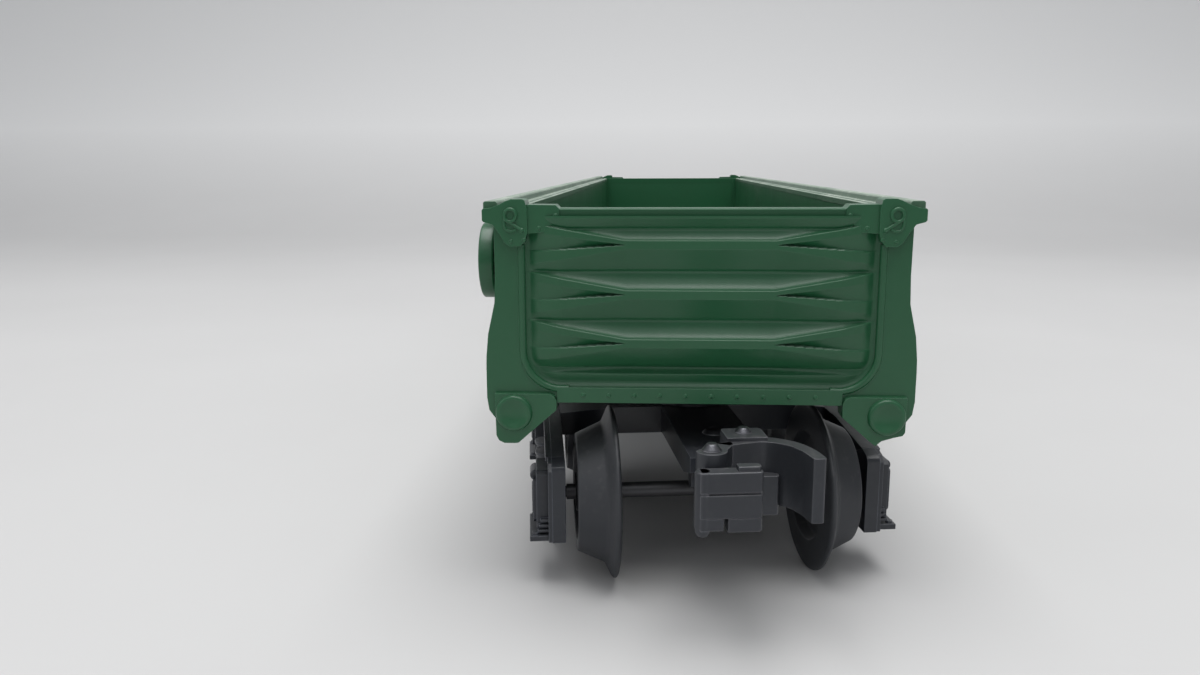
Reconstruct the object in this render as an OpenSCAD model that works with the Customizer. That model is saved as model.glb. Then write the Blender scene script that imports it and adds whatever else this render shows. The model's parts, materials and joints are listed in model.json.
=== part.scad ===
// O gauge gondola freight car: a low open box body on two four-wheel trucks with knuckle couplers.
// X runs across the car, Y along it, Z up. The origin is the middle of the car on the table
// that the wheel flanges stand on. The front end faces -Y.

/* [Body] */
// Length over the two end faces
body_l = 238; // [200:1:300]
// Width over the side posts
body_w = 56; // [56:0.5:68]
// Height of the side walls, from the underside of the end sill to the end rail
body_h = 25.6; // [22:0.2:34]
// Thickness of the floor
floor_t = 1.8; // [1.6:0.1:2.4]
// Thickness of the side walls
side_t = 1.2; // [0.9:0.1:1.8]
// Number of posts on each side
posts = 11; // [7:1:13]
// Width of a side post along the car
post_w = 2.8; // [2:0.1:4]

/* [Ends] */
// Depth of the end wall, from its outer face to the load space
end_t = 2.8; // [2.4:0.1:4]
// Depth of the corrugations
rib_depth = 1.5; // [1:0.1:1.6]
// Half width of the corrugated panel
panel_hw = 21.5; // [20:0.1:22]
// Height of the end sill strip
sill_h = 2.2; // [1.8:0.1:3]
// Rivets along the end sill
sill_rivets = 10; // [6:1:12]

/* [Brake wheel] */
// Outer radius of the brake wheel
brake_r = 5.2; // [4:0.1:6]
// Depth of its rim
brake_rim = 2; // [1.4:0.1:2.4]

/* [Underframe] */
// Thickness of the underframe plate
frame_t = 1.1; // [0.8:0.1:1.6]
// Half width of the underframe plate
frame_hw = 22; // [18:0.5:23]
// Radius of the kingpins
kingpin_r = 1.5; // [1.1:0.1:1.9]

/* [Trucks] */
// Distance between the two axles of a truck
wheelbase = 36; // [34:0.5:44]
// Distance from the end face of the body to the truck's pivot
pivot_inset = 27.2; // [24:0.2:40]
// Angle that the front truck stands at
front_yaw = 7.8; // [-14:0.2:14]
// Angle that the rear truck stands at
rear_yaw = 0; // [-14:0.2:14]
// Thickness of a sideframe
side_frame_t = 2.4; // [2:0.1:3.2]

/* [Wheels] */
// Radius of the wheel flange
flange_r = 12.2; // [11.4:0.1:12.8]
// Radius of the tread next to the flange
root_r = 9.8; // [9.2:0.1:10.4]
// Radius of the tread at the outer rim
rim_r = 8.3; // [7.7:0.1:8.8]
// Distance between the backs of the two wheels on an axle
back_to_back = 27.4; // [26.4:0.1:29]
// Width of a wheel
wheel_w = 5.8; // [5.2:0.1:6.2]
// Gap between a wheel and the sideframe beside it
wheel_play = 1.6; // [1:0.1:2]
// Radius of the axles
axle_r = 1.1; // [1:0.05:1.5]
// Radius of the journals at the axle ends
journal_r = 0.8; // [0.6:0.05:1]

/* [Couplers] */
// Distance from the truck's pivot to the knuckle's pin
knuckle_reach = 39.4; // [38.4:0.2:42]
// Radius of the knuckle's pin
knuckle_pin_r = 0.7; // [0.5:0.05:0.9]
// Height of the coupler head
head_h = 7.9; // [7:0.1:9]

/* [Fits] */
// Radial clearance of a pin or shaft that turns
run_gap = 0.05; // [0.02:0.01:0.08]
// Radial clearance of a pin or rivet that is fixed
fix_gap = 0.03; // [0.02:0.01:0.06]
// Gap between two pieces that move past each other
side_gap = 0.3; // [0.2:0.05:0.4]

/* [Hidden] */
$fn = 48;
green = [0.13, 0.42, 0.22];
black = [0.12, 0.12, 0.14];
steel = [0.55, 0.56, 0.58];

// Heights, worked up from the table
axle_z = flange_r;
bolster_z = axle_z + 4.2;          // underside of the truck bolster
bolster_top = axle_z + 9;          // top of the truck's centre plate
washer_t = 0.6;
pad_z = bolster_top + side_gap + washer_t;   // underside of the body's centre plate
sill_z = max(axle_z + 14.8, 2 * flange_r + 1.9);   // underside of the end sill
rail_z = sill_z + body_h;          // top of the end rail
floor_z = sill_z + 0.8;            // underside of the floor
floor_top = floor_z + floor_t;
frame_z = floor_z - frame_t;       // underside of the underframe plate
chord_z = rail_z + 0.9;            // top of the side chord's lip
hump_z = rail_z + 1.2;             // top of the corner castings

// Widths
hl = body_l / 2;
hw = body_w / 2;
top_hw = hw - 1.4;                 // half width over the posts at their tops
inner_hw = hw - 3.8;               // half width of the load space
wall_hw = inner_hw + side_t;       // outer face of the side walls
pivot_y = hl - pivot_inset;
gusset_x = hw - 10;                // inner end of a corner casting's gusset
lug_x = hw - 9.4;                  // inner end of a corner lug

// Extrudes an outline drawn in X and Z from y0 to y1
module along_y(y0, y1) {
    translate([0, y1, 0]) rotate([90, 0, 0]) linear_extrude(y1 - y0) children();
}

// Extrudes an outline drawn in Y and Z from x0 to x1
module along_x(x0, x1) {
    translate([x0, 0, 0]) rotate([90, 0, 90]) linear_extrude(x1 - x0) children();
}

// Cylinder along X from x0 to x1 at height z
module rod_x(x0, x1, r, y, z) {
    translate([x0, y, z]) rotate([0, 90, 0]) cylinder(r = r, h = x1 - x0);
}

// Cylinder along Y from y0 to y1
module rod_y(y0, y1, r, x, z) {
    translate([x, y1, z]) rotate([90, 0, 0]) cylinder(r = r, h = y1 - y0);
}

// Box between two corners
module block(a, b) {
    translate(a) cube(b - a);
}

// The same piece on the left and on the right
module both_sides() {
    children();
    mirror([1, 0, 0]) children();
}

// The same piece at the front end and, turned round, at the rear end
module both_ends() {
    children();
    rotate([0, 0, 180]) children();
}

// ---------------------------------------------------------------- body

// Heights of the middles of the three outer corrugation ribs
rib_pitch = (rail_z - sill_z - 6.6) / 3;
function rib_z(i) = rail_z - 4.7 - i * rib_pitch;
rib_mid = 9.6;        // half length of the straight middle of a rib
rib_half = 0.6;       // half height of a rib there
dart_h = 1.3;         // half height of the recessed dart at the panel's edge
arm_h = 1.1;          // height of a rib's arm at the panel's edge

// One outer rib: a straight middle that splits into two arms round a recessed dart
module rib_outline() {
    difference() {
        polygon([
            [-panel_hw, -dart_h - arm_h], [-rib_mid, -rib_half], [rib_mid, -rib_half],
            [panel_hw, -dart_h - arm_h], [panel_hw, dart_h + arm_h], [rib_mid, rib_half],
            [-rib_mid, rib_half], [-panel_hw, dart_h + arm_h]]);
        for (s = [-1, 1])
            polygon([[s * (rib_mid + 0.4), 0], [s * (panel_hw + 1), dart_h * 1.09],
                     [s * (panel_hw + 1), -dart_h * 1.09]]);
    }
}

// Inner edge of a corner plate: straight down, then a round corner to the sill
corner_r = 4.6;
function corner_edge() = [for (a = [0 : 15 : 75])
    [panel_hw - corner_r * (1 - cos(a)), sill_z + sill_h + corner_r - corner_r * sin(a)]];

// Right-hand corner plate with the taper of the side posts
module corner_plate_outline() {
    polygon(concat(
        [[panel_hw, rail_z], [top_hw, rail_z], [top_hw + 0.1, sill_z + 13.6], [hw - 0.6, sill_z + 10.4],
         [hw, sill_z + 6], [hw, sill_z + 0.6], [hw - 0.3, sill_z - 1.1], [hw - 1.1, sill_z - 2.2],
         [lug_x, sill_z]],
        [[panel_hw - corner_r, sill_z]],
        [for (i = [5 : -1 : 0]) corner_edge()[i]]));
}

// Lug below the corner that carries the poling pocket, its foot flat or cut on a slope
lug_drop = 5.4;
module lug_outline(full) {
    polygon(full
        ? [[lug_x, sill_z + 1.2], [lug_x, sill_z - 0.8], [hw - 4.1, sill_z - lug_drop],
           [hw - 2, sill_z - lug_drop], [hw - 1.3, sill_z - lug_drop + 0.8], [hw - 1.1, sill_z + 1.2]]
        : [[lug_x, sill_z + 1.2], [lug_x, sill_z - 1.5], [hw - 5.1, sill_z - lug_drop + 0.3],
           [hw - 4.2, sill_z - lug_drop + 0.9], [hw - 2.6, sill_z - lug_drop + 1.4],
           [hw - 1.3, sill_z - lug_drop + 1.7], [hw - 1.1, sill_z + 1.2]]);
}
pocket_x = hw - 3.7;
pocket_z = sill_z - 1.3;
pocket_r = 2.5;
module poling_pocket() {
    difference() {
        rod_y(-1.5, 1, pocket_r, pocket_x, pocket_z);
        translate([pocket_x, -1.6, pocket_z]) rotate([-90, 0, 0]) cylinder(r1 = 1.8, r2 = 0.9, h = 0.9);
    }
}

// Corner casting: a tow eye plate with a wing to the outside and a gusset to the inside
module casting_plate_outline() {
    polygon([
        [hw - 5.9, rail_z], [hw - 5.6, hump_z], [hw - 3.8, hump_z], [hw - 2.4, rail_z + 0.6],
        [hw - 1.2, rail_z + 0.05], [hw - 0.1, rail_z], [hw - 0.1, rail_z - 1.7], [hw - 1.4, rail_z - 2.1],
        [hw - 2.6, rail_z - 3.8], [hw - 3.6, rail_z - 4.8], [hw - 5.2, rail_z - 4.8], [hw - 5.8, rail_z - 4.2]]);
}
module gusset_outline() {
    polygon([
        [gusset_x, rail_z], [gusset_x + 0.5, rail_z + 0.5], [hw - 5.8, rail_z + 0.5], [hw - 5.8, rail_z - 3],
        [hw - 7.9, rail_z - 3], [gusset_x, rail_z - 1.2]]);
}
module tow_eye() {
    eye_x = hw - 3.75;
    difference() {
        along_y(-1.4, -0.8) {
            translate([eye_x, rail_z - 0.9]) circle(r = 1.15);
            translate([eye_x, rail_z - 2.2]) circle(r = 1.15);
            translate([eye_x - 1.15, rail_z - 2.2]) square([2.3, 1.3]);
        }
        rod_y(-1.5, -0.7, 0.55, eye_x, rail_z - 0.9);
        along_y(-1.5, -0.7) polygon([
            [eye_x - 0.5, rail_z - 2.6], [eye_x + 0.65, rail_z - 1.75], [eye_x + 0.6, rail_z - 2.7]]);
    }
}

// One end wall, with its outer face at y = 0 and the load space behind it
module end_wall() {
    along_y(end_t - 1.2, end_t) polygon([
        [-panel_hw, floor_z], [panel_hw, floor_z], [panel_hw, rail_z - 0.1], [-panel_hw, rail_z - 0.1]]);
    for (i = [0 : 2]) translate([0, 0, rib_z(i)])
        along_y(end_t - 1.2 - rib_depth, end_t - 1.1) rib_outline();
    block([-panel_hw, -0.3, rail_z - 1.6], [panel_hw, end_t, rail_z]);
    block([-lug_x - 0.2, -0.5, sill_z], [lug_x + 0.2, end_t, sill_z + sill_h]);
    both_sides() {
        along_y(0, end_t) corner_plate_outline();
        along_y(-0.35, 0.1) translate([panel_hw + 1.5, sill_z + sill_h + corner_r]) square([0.65, 13]);
        along_y(-0.9, end_t) casting_plate_outline();
        along_y(-0.5, end_t) gusset_outline();
        tow_eye();
        poling_pocket();
    }
    along_y(-0.5, end_t - 0.4) lug_outline(false);
    mirror([1, 0, 0]) along_y(-0.5, end_t - 0.4) lug_outline(true);
    for (i = [0 : sill_rivets - 1])
        rod_y(-0.7, -0.4, 0.35, (i - (sill_rivets - 1) / 2) * 3.36, sill_z + 1.15);
}

// Side wall with its chord, sill and tapered posts, on the right
post_first = hl - 17;
post_pitch = 2 * post_first / (posts - 1);
module side_wall() {
    along_y(-hl + 0.2, hl - 0.2) {
        polygon([[inner_hw, floor_z], [wall_hw, floor_z], [wall_hw, rail_z - 1.2], [inner_hw, rail_z - 1.2]]);
        polygon([[inner_hw, rail_z - 1.2], [hw - 0.1, rail_z - 1.2], [hw - 0.1, chord_z], [hw - 1.9, chord_z],
                 [hw - 2.1, rail_z - 0.1], [inner_hw, rail_z - 0.1]]);
        polygon([[inner_hw, floor_z], [inner_hw, sill_z], [hw - 0.8, sill_z], [hw - 0.8, sill_z + 0.8],
                 [wall_hw, sill_z + 0.8], [wall_hw, floor_top]]);
    }
    for (i = [0 : posts - 1]) {
        y = -post_first + i * post_pitch;
        along_y(y - post_w / 2, y + post_w / 2) polygon([
            [wall_hw - 0.1, rail_z - 1.1], [top_hw, rail_z - 1.1], [top_hw + 0.1, sill_z + 13.6],
            [hw - 0.6, sill_z + 10.4], [hw - 0.1, sill_z + 6], [hw - 0.1, sill_z + 0.6],
            [hw - 0.6, sill_z], [wall_hw - 0.1, sill_z]]);
    }
}

// Pocket and bracket that the brake wheel's pin is pressed into
brake_y = -hl + 8.7;
brake_z = rail_z - 7.5;
brake_x = -hw - 1.4;               // outer face of the brake wheel
brake_pin_r = 0.7;
bracket_x = -wall_hw - 1;          // outer face of the bracket on the side wall

// The moulded body: floor, side walls and end walls in one piece
screw_x = 12;
screw_y = pivot_y - 26;
screw_r = 0.9;
module body_shell() color(green) difference() {
    union() {
        block([-wall_hw, -hl + 1, floor_z], [wall_hw, hl - 1, floor_top]);
        both_sides() side_wall();
        both_ends() translate([0, -hl, 0]) end_wall();
        rod_x(bracket_x, -wall_hw + 0.2, 2, brake_y, brake_z);
    }
    rod_x(bracket_x - 0.1, -wall_hw + 0.6, brake_pin_r + fix_gap, brake_y, brake_z);
    for (x = [-screw_x, screw_x], y = [-screw_y, screw_y])
        translate([x, y, floor_z - 0.1]) cylinder(r = screw_r + fix_gap, h = floor_t - 0.4);
}

// Brake wheel: a deep rim, five dished spokes and a hub on a pin
module brake_wheel() color(green) difference() {
    union() {
        rod_x(brake_x, brake_x + brake_rim, brake_r, brake_y, brake_z);
        rod_x(brake_x + 0.4, bracket_x - 0.2, 1.4, brake_y, brake_z);
    }
    difference() {
        rod_x(brake_x - 0.1, brake_x + brake_rim + 0.1, brake_r - 0.9, brake_y, brake_z);
        rod_x(brake_x - 0.2, brake_x + brake_rim + 0.2, 1.4, brake_y, brake_z);
        for (a = [0 : 72 : 359]) translate([brake_x + 0.7, brake_y, brake_z]) rotate([a, 0, 0])
            block([0, -0.45, 0], [0.8, 0.45, brake_r]);
    }
    rod_x(brake_x + 1, bracket_x + 1, brake_pin_r + run_gap, brake_y, brake_z);
}
module brake_wheel_pin() color(green)
    rod_x(brake_x + 1.2, -wall_hw + 0.5, brake_pin_r, brake_y, brake_z);

// ---------------------------------------------------------------- underframe

beam_hw = 3.4;        // half width of the centre sill
beam_z = pad_z + 1.2; // underside of the centre sill
pad_r = 5;            // radius of the body's centre plate
bearer_hw = 2.6;      // half length of a body bolster along the car

// Flat frame plate screwed up under the floor
module underframe() color(black) difference() {
    block([-frame_hw, -hl + 4.6, frame_z], [frame_hw, hl - 4.6, floor_z]);
    for (x = [-screw_x, screw_x], y = [-screw_y, screw_y])
        translate([x, y, frame_z - 0.1]) cylinder(r = screw_r + fix_gap, h = frame_t + 0.2);
}

// Centre sill between the body bolsters
module centre_sill() color(black) {
    sill_end = pivot_y - pad_r - 0.4;
    block([-beam_hw, -sill_end, beam_z], [beam_hw, sill_end, frame_z]);
}

// Two crossbearers, each a tapered arm on either side of the centre sill
module crossbearers() color(black)
    for (y = [-0.3, 0.3] * pivot_y) both_sides() along_y(y - 0.8, y + 0.8) polygon([
        [beam_hw, frame_z], [frame_hw - 2, frame_z], [frame_hw - 2, frame_z - 0.6], [beam_hw, beam_z + 0.6]]);

// Air brake cylinder and reservoir, cast flat where they meet the frame plate
module brake_gear() color(black) difference() {
    union() {
        rod_y(-8, 4, 3, -11, frame_z - 2.2);
        rod_y(4, 6.4, 3.5, -11, frame_z - 2.2);
        rod_y(-12, 12, 2.8, 11.5, frame_z - 2.2);
    }
    block([-frame_hw, -20, frame_z], [frame_hw, 20, frame_z + 3]);
}

// Body bolster: a tapered beam across the car with the centre plate on a boss
module body_bolster() color(black) translate([0, -pivot_y, 0]) difference() {
    union() {
        along_y(-bearer_hw, bearer_hw) polygon([
            [-frame_hw + 3, frame_z], [-6, beam_z], [6, beam_z], [frame_hw - 3, frame_z]]);
        cylinder_up(pad_r, pad_z, frame_z);
    }
    cylinder_up(kingpin_r + fix_gap, pad_z - 0.1, frame_z + 0.1);
}

// Four screws that hold the body to the underframe
module frame_screws() color(steel)
    for (x = [-screw_x, screw_x], y = [-screw_y, screw_y]) translate([x, y, 0]) difference() {
        union() {
            translate([0, 0, frame_z - 0.8]) cylinder(r1 = 1.2, r2 = 1.7, h = 0.8);
            translate([0, 0, frame_z - 0.1]) cylinder(r = screw_r, h = frame_t + floor_t - 0.7);
        }
        for (a = [0, 90]) rotate([0, 0, a]) block([-0.9, -0.15, frame_z - 0.9], [0.9, 0.15, frame_z - 0.45]);
    }

// ---------------------------------------------------------------- trucks
// A truck is drawn with its pivot at the origin and its coupler towards -Y

module place_truck(front) {
    translate([0, front ? -pivot_y : pivot_y, 0])
        rotate([0, 0, front ? front_yaw : 180 + rear_yaw]) children();
}

// Kingpin: a screw up through the bolster into the underframe
module kingpin() color(steel) difference() {
    union() {
        translate([0, 0, bolster_z - side_gap - 1]) cylinder(r1 = 2, r2 = 2.7, h = 1);
        translate([0, 0, bolster_z - side_gap - 0.1]) cylinder(r = kingpin_r, h = frame_z - bolster_z);
    }
    block([-2.2, -0.25, bolster_z - side_gap - 1.1], [2.2, 0.25, bolster_z - side_gap - 0.5]);
}
module swivel_washer() color(steel) difference() {
    translate([0, 0, pad_z - washer_t]) cylinder(r = 4.4, h = washer_t);
    translate([0, 0, pad_z - washer_t - 0.1]) cylinder(r = kingpin_r + fix_gap, h = washer_t + 0.2);
}

// Across the truck
wheel_x = back_to_back / 2;
frame_x = wheel_x + wheel_w + wheel_play;       // inner face of a sideframe
frame_out = frame_x + side_frame_t;      // its outer face
box_out = frame_out + 2.2;               // outer face of a journal box
half_base = wheelbase / 2;
bolster_hw = min(4, half_base - flange_r - 1.2);   // half width of the bolster along the car
rivet_r = 0.9;
rivet_z = bolster_z + 1.8;               // height of the rivets through the bolster's ends
tongue_hw = 5.2;
tongue_z = bolster_top - 1.6;            // underside of the tongue plate
tongue_end = knuckle_reach - 9;

// Bolster across the truck with the tongue that carries the coupler
module bolster() color(black) difference() {
    union() {
        along_y(-bolster_hw, bolster_hw) polygon([
            [-frame_x, bolster_z], [frame_x, bolster_z], [frame_x, rivet_z + 1.7],
            [frame_x - 8, bolster_top - 0.6], [-frame_x + 8, bolster_top - 0.6],
            [-frame_x, rivet_z + 1.7]]);
        cylinder_up(5.6, bolster_top - 1, bolster_top);
        block([-tongue_hw, -tongue_end, tongue_z], [tongue_hw, -bolster_hw + 0.1, bolster_top - 0.4]);
        for (s = [-1, 1]) along_x(s * (tongue_hw - 0.4) - 0.4, s * (tongue_hw - 0.4) + 0.4) polygon([
            [-tongue_end, tongue_z + 0.1], [-tongue_end, tongue_z - 0.8], [-tongue_end + 5, bolster_z + 0.8],
            [-bolster_hw + 0.1, bolster_z + 0.2], [-bolster_hw + 0.1, tongue_z + 0.1]]);
    }
    translate([0, 0, bolster_z - 0.1]) cylinder(r = kingpin_r + run_gap, h = bolster_top - bolster_z + 0.2);
    for (s = [-1, 1])
        rod_x(min(s * (frame_x - 3.2), s * frame_x), max(s * (frame_x - 3.2), s * frame_x),
              rivet_r + fix_gap, 0, rivet_z);
    for (y = shank_rivet_y) translate([0, y, tongue_z - 0.1]) cylinder(r = rivet_r + fix_gap, h = 2);
}

// Cylinder from z0 to z1
module cylinder_up(r, z0, z1) {
    translate([0, 0, z0]) cylinder(r = r, h = z1 - z0);
}

// Outline of a sideframe in Y and Z, with the spring window and two side windows
jaw = half_base + 5.2;                   // end of a sideframe
module sideframe_outline() {
    difference() {
        translate([0, axle_z]) polygon([
            [-jaw, -5.6], [-jaw, 4.8], [-jaw + 0.9, 5.7], [-jaw + 2.4, 6.1], [-9, 7.5], [9, 7.5],
            [jaw - 2.4, 6.1], [jaw - 0.9, 5.7], [jaw, 4.8], [jaw, -5.6], [half_base - 3.6, -5.6],
            [half_base - 5, -4.6], [7.4, -7.8], [-7.4, -7.8], [-half_base + 5, -4.6], [-half_base + 3.6, -5.6]]);
        translate([-5.6, axle_z - 5.4]) square([11.2, 6.6]);
        for (s = [-1, 1]) translate([0, axle_z]) polygon([
            [s * 7.4, 3.8], [s * (half_base - 5), 2.8], [s * (half_base - 5), -1], [s * 7.4, -4.4]]);
    }
}

// Sideframe on each side of the truck
module right_sideframe() sideframe();
module left_sideframe() mirror([1, 0, 0]) sideframe();

// Right-hand sideframe: cast frame, two journal boxes, bolster end and two coil springs
module sideframe() color(black) difference() {
    union() {
        along_x(frame_x, frame_out) sideframe_outline();
        for (s = [-1, 1]) translate([0, s * half_base, 0]) journal_box();
        block([frame_out - 0.1, -4.6, rivet_z - 1.9], [frame_out + 2, 4.6, rivet_z + 1.6]);
        block([frame_out - 0.1, -6.4, axle_z - 6.8], [frame_out + 1.2, 6.4, axle_z - 5.4]);
        for (y = [-2.8, 2.8]) translate([frame_x + side_frame_t / 2 + 0.6, y, axle_z - 5.5]) coil_spring();
    }
    for (s = [-1, 1]) rod_x(frame_x - 0.1, frame_x + 1.7, journal_r + run_gap, s * half_base, axle_z);
    rod_x(frame_x - 0.1, frame_out + 2.1, rivet_r + fix_gap, 0, rivet_z);
}

// Journal box with its lid, hinge boss and bottom flange
module journal_box() {
    block([frame_out - 0.1, -3.2, axle_z - 4.4], [box_out - 0.5, 3.2, axle_z + 4.2]);
    block([box_out - 0.6, -2.7, axle_z - 3.5], [box_out, 2.7, axle_z + 3]);
    rod_y(-1.6, 1.6, 0.8, box_out - 0.5, axle_z + 3.1);
    block([frame_x, -4.3, axle_z - 5.6], [box_out + 0.4, 4.3, axle_z - 4.8]);
    for (k = [0 : 1]) block([frame_out - 0.1, -4, axle_z - 4.4 + k * 0.9], [frame_out + 1.7, 4, axle_z - 3.9 + k * 0.9]);
}

// Coil spring cast with the sideframe, as a stack of rings
spring_h = 6.8;
spring_turns = 5;
module coil_spring() {
    cylinder(r = 1.3, h = spring_h);
    for (i = [0 : spring_turns - 1]) translate([0, 0, (i + 0.5) * spring_h / spring_turns])
        rotate_extrude() translate([1.5, 0]) circle(r = 0.5, $fn = 24);
}

// Rivets that hold the sideframes to the bolster
module sideframe_rivets() color(steel) for (s = [-1, 1]) {
    x0 = frame_x - 3;
    x1 = frame_out + 2.3;
    rod_x(min(s * x0, s * x1), max(s * x0, s * x1), rivet_r, 0, rivet_z);
}

// Wheel, turned about its axle, with the flange towards the middle of the truck
module wheel() color(black) {
    dish = 1.5;
    rotate([0, 90, 0]) rotate_extrude($fn = 96) polygon([
        [axle_r + fix_gap, 0], [axle_r + 1.5, 0], [axle_r + 1.9, dish], [root_r - 2.6, dish],
        [root_r - 1.9, 0.2], [flange_r - 0.5, 0.2], [flange_r - 0.1, 0.4], [flange_r, 0.65], [flange_r - 0.1, 0.9],
        [root_r + 0.7, 1.7], [root_r, 2.2], [rim_r, wheel_w - 0.2], [rim_r - 0.2, wheel_w],
        [rim_r - 1.5, wheel_w], [rim_r - 2.1, wheel_w - 1.2], [axle_r + 2, wheel_w - 1.2],
        [axle_r + 1.5, wheel_w], [axle_r + fix_gap, wheel_w]]);
}

// Axle with a journal at each end
module axle() color(steel) {
    rod_x(-frame_x + side_gap, frame_x - side_gap, axle_r, 0, 0);
    rod_x(-frame_x - 1.4, frame_x + 1.4, journal_r, 0, 0);
}

// ---------------------------------------------------------------- couplers
// Drawn with the truck's pivot at the origin

head_top = bolster_top + 3.5;
head_z = head_top - head_h;
pin_x = -4.3;                            // the knuckle's pin lies to the left of the centre line
pin_y = -knuckle_reach;
shank_hw = 4;
shank_rivet_y = [-knuckle_reach + 13, -knuckle_reach + 20];
hub_r = 1.9;
hub_z = head_z + 0.6;                    // underside of the knuckle's hub
hub_top = head_top - 2.6;
lever_y = -knuckle_reach + 16.6;         // pivot of the uncoupling lever
lever_z = head_z - 1.6;
lever_pin_r = 0.6;
head_rivet_x = 0.8;                      // rivet on top of the head
head_rivet_y = pin_y + 5.6;

// Head outline: throat wall and a guard arm that curves forward on the right
module head_outline() {
    translate([0, pin_y]) polygon([
        [-3.4, 2.6], [-2.1, 3.1], [0, 4.2], [2.3, 4.9], [4.5, 4.3], [6.6, 2.5], [7.7, 0.2], [8.2, -2],
        [8.4, -4.3], [6.8, -4.3], [6.5, -2], [6, -0.3], [5.2, 1.2], [3.9, 2.3], [2.3, 2.8], [0.4, 2.4],
        [-1.8, 1.7]]);
}

// Ear of the head that holds the knuckle's pin, reaching back to the throat wall
module ear_outline() {
    translate([pin_x, pin_y]) circle(r = hub_r);
    translate([0, pin_y]) polygon([[pin_x - hub_r, 0], [pin_x + hub_r, 0], [-1.2, 2.1], [-1.2, 3.3], [-3.4, 2.6]]);
}

module coupler_body() color(black) difference() {
    union() {
        block([-shank_hw, pin_y + 3.4, head_z], [shank_hw, pin_y + 23, tongue_z]);
        translate([0, 0, head_z]) linear_extrude(head_h) head_outline();
        translate([0, 0, hub_top + 0.1]) linear_extrude(head_top - hub_top - 0.1) ear_outline();
        translate([0, 0, head_z - 0.6]) linear_extrude(hub_z - head_z + 0.5) ear_outline();
        translate([pin_x, pin_y, head_z - 1.4]) cylinder(r1 = 1.3, r2 = hub_r, h = 0.9);
        block([-1.8, pin_y + 3.4, head_z], [3.3, pin_y + 7.2, head_top + 0.1]);
        block([-1.8, pin_y + 3, head_top - 0.1], [3.3, pin_y + 7.2, head_top + 0.5]);
        block([1, pin_y + 1.2, head_z - 1], [4.4, pin_y + 3.6, head_z + 4]);
        for (s = [-1, 1]) along_x(s * 3.5 - 0.4, s * 3.5 + 0.4) polygon([
            [lever_y - 1.6, head_z + 0.1], [lever_y - 1, lever_z - 1], [lever_y + 1, lever_z - 1],
            [lever_y + 1.6, head_z + 0.1]]);
    }
    translate([pin_x, pin_y, head_z - 1.5]) cylinder(r = knuckle_pin_r + run_gap, h = head_h + 2);
    for (y = shank_rivet_y) translate([0, y, head_z - 0.1]) cylinder(r = rivet_r + fix_gap, h = tongue_z - head_z + 0.2);
    translate([head_rivet_x, head_rivet_y, head_top - 2.6]) cylinder(r = 0.7 + fix_gap, h = 3.2);
    rod_x(-4, 4, lever_pin_r + run_gap, lever_y, lever_z);
}

// Rivets through the tongue and the shank
module shank_rivets() color(steel) for (y = shank_rivet_y) translate([0, y, 0]) {
    cylinder_up(rivet_r, head_z, bolster_top - 0.3);
    translate([0, 0, bolster_top - 0.4]) cylinder(r1 = 1.6, r2 = 1.1, h = 0.6);
    translate([0, 0, head_z - 0.5]) cylinder(r1 = 1.1, r2 = 1.6, h = 0.5);
}

// Rivet on top of the head
module head_rivet() color(steel) translate([head_rivet_x, head_rivet_y, 0]) {
    cylinder_up(0.7, head_top - 2.5, head_top + 0.6);
    translate([0, 0, head_top + 0.5]) cylinder(r1 = 1.1, r2 = 0.6, h = 0.6);
}

// Knuckle: a hub between the ears and a tall nose that hooks to the right
nose_z = head_z - 0.85;                  // underside of the nose
nose_top = head_top - 1.45;
module knuckle() color(black) difference() {
    union() {
        translate([pin_x, pin_y, hub_z]) cylinder(r = hub_r, h = hub_top - hub_z);
        translate([0, pin_y, hub_z]) linear_extrude(hub_top - hub_z) polygon([
            [pin_x - hub_r, 0], [pin_x - hub_r, -2.6], [pin_x + 1.4, -2.6], [pin_x + hub_r, -0.3]]);
        translate([0, pin_y, nose_z]) linear_extrude(nose_top - nose_z) polygon([
            [-6.6, -2.1], [-6.6, -4.1], [0.6, -4.2], [1.1, -3.8], [1.1, -2.7], [0.5, -2.1]]);
        block([-1.9, pin_y - 3.9, nose_top - 3.2], [0.9, pin_y - 2.4, nose_top + 0.6]);
        translate([-5.9, pin_y - 3.15, nose_z - 0.7]) cylinder(r = 1.05, h = nose_top - nose_z + 0.6);
    }
    translate([pin_x, pin_y, hub_z - 0.1]) cylinder(r = knuckle_pin_r + run_gap, h = hub_top);
    translate([pin_x, pin_y, hub_top - 1.3]) cylinder(r = 1.5, h = 1.4);
    block([-5.2, pin_y - 6, nose_top - 2.7], [1.2, pin_y - 4, nose_top - 2.5]);
    block([-3.5, pin_y - 6, nose_z - 0.1], [-3.1, pin_y - 4, nose_z + 1.7]);
}

// Pin of the knuckle with a domed head
module knuckle_pin() color(steel) translate([pin_x, pin_y, 0]) {
    cylinder_up(knuckle_pin_r, head_z - 1.2, head_top + 0.2);
    translate([0, 0, head_top + 0.05]) cylinder(r1 = 1.25, r2 = 0.6, h = 0.8);
}

// Coil spring round the pin, in the counterbore of the knuckle's hub
module knuckle_spring() color(steel) for (i = [0 : 1])
    translate([pin_x, pin_y, hub_top - 0.95 + i * 0.5]) rotate_extrude()
        translate([1.12, 0]) circle(r = 0.27, $fn = 24);

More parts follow.
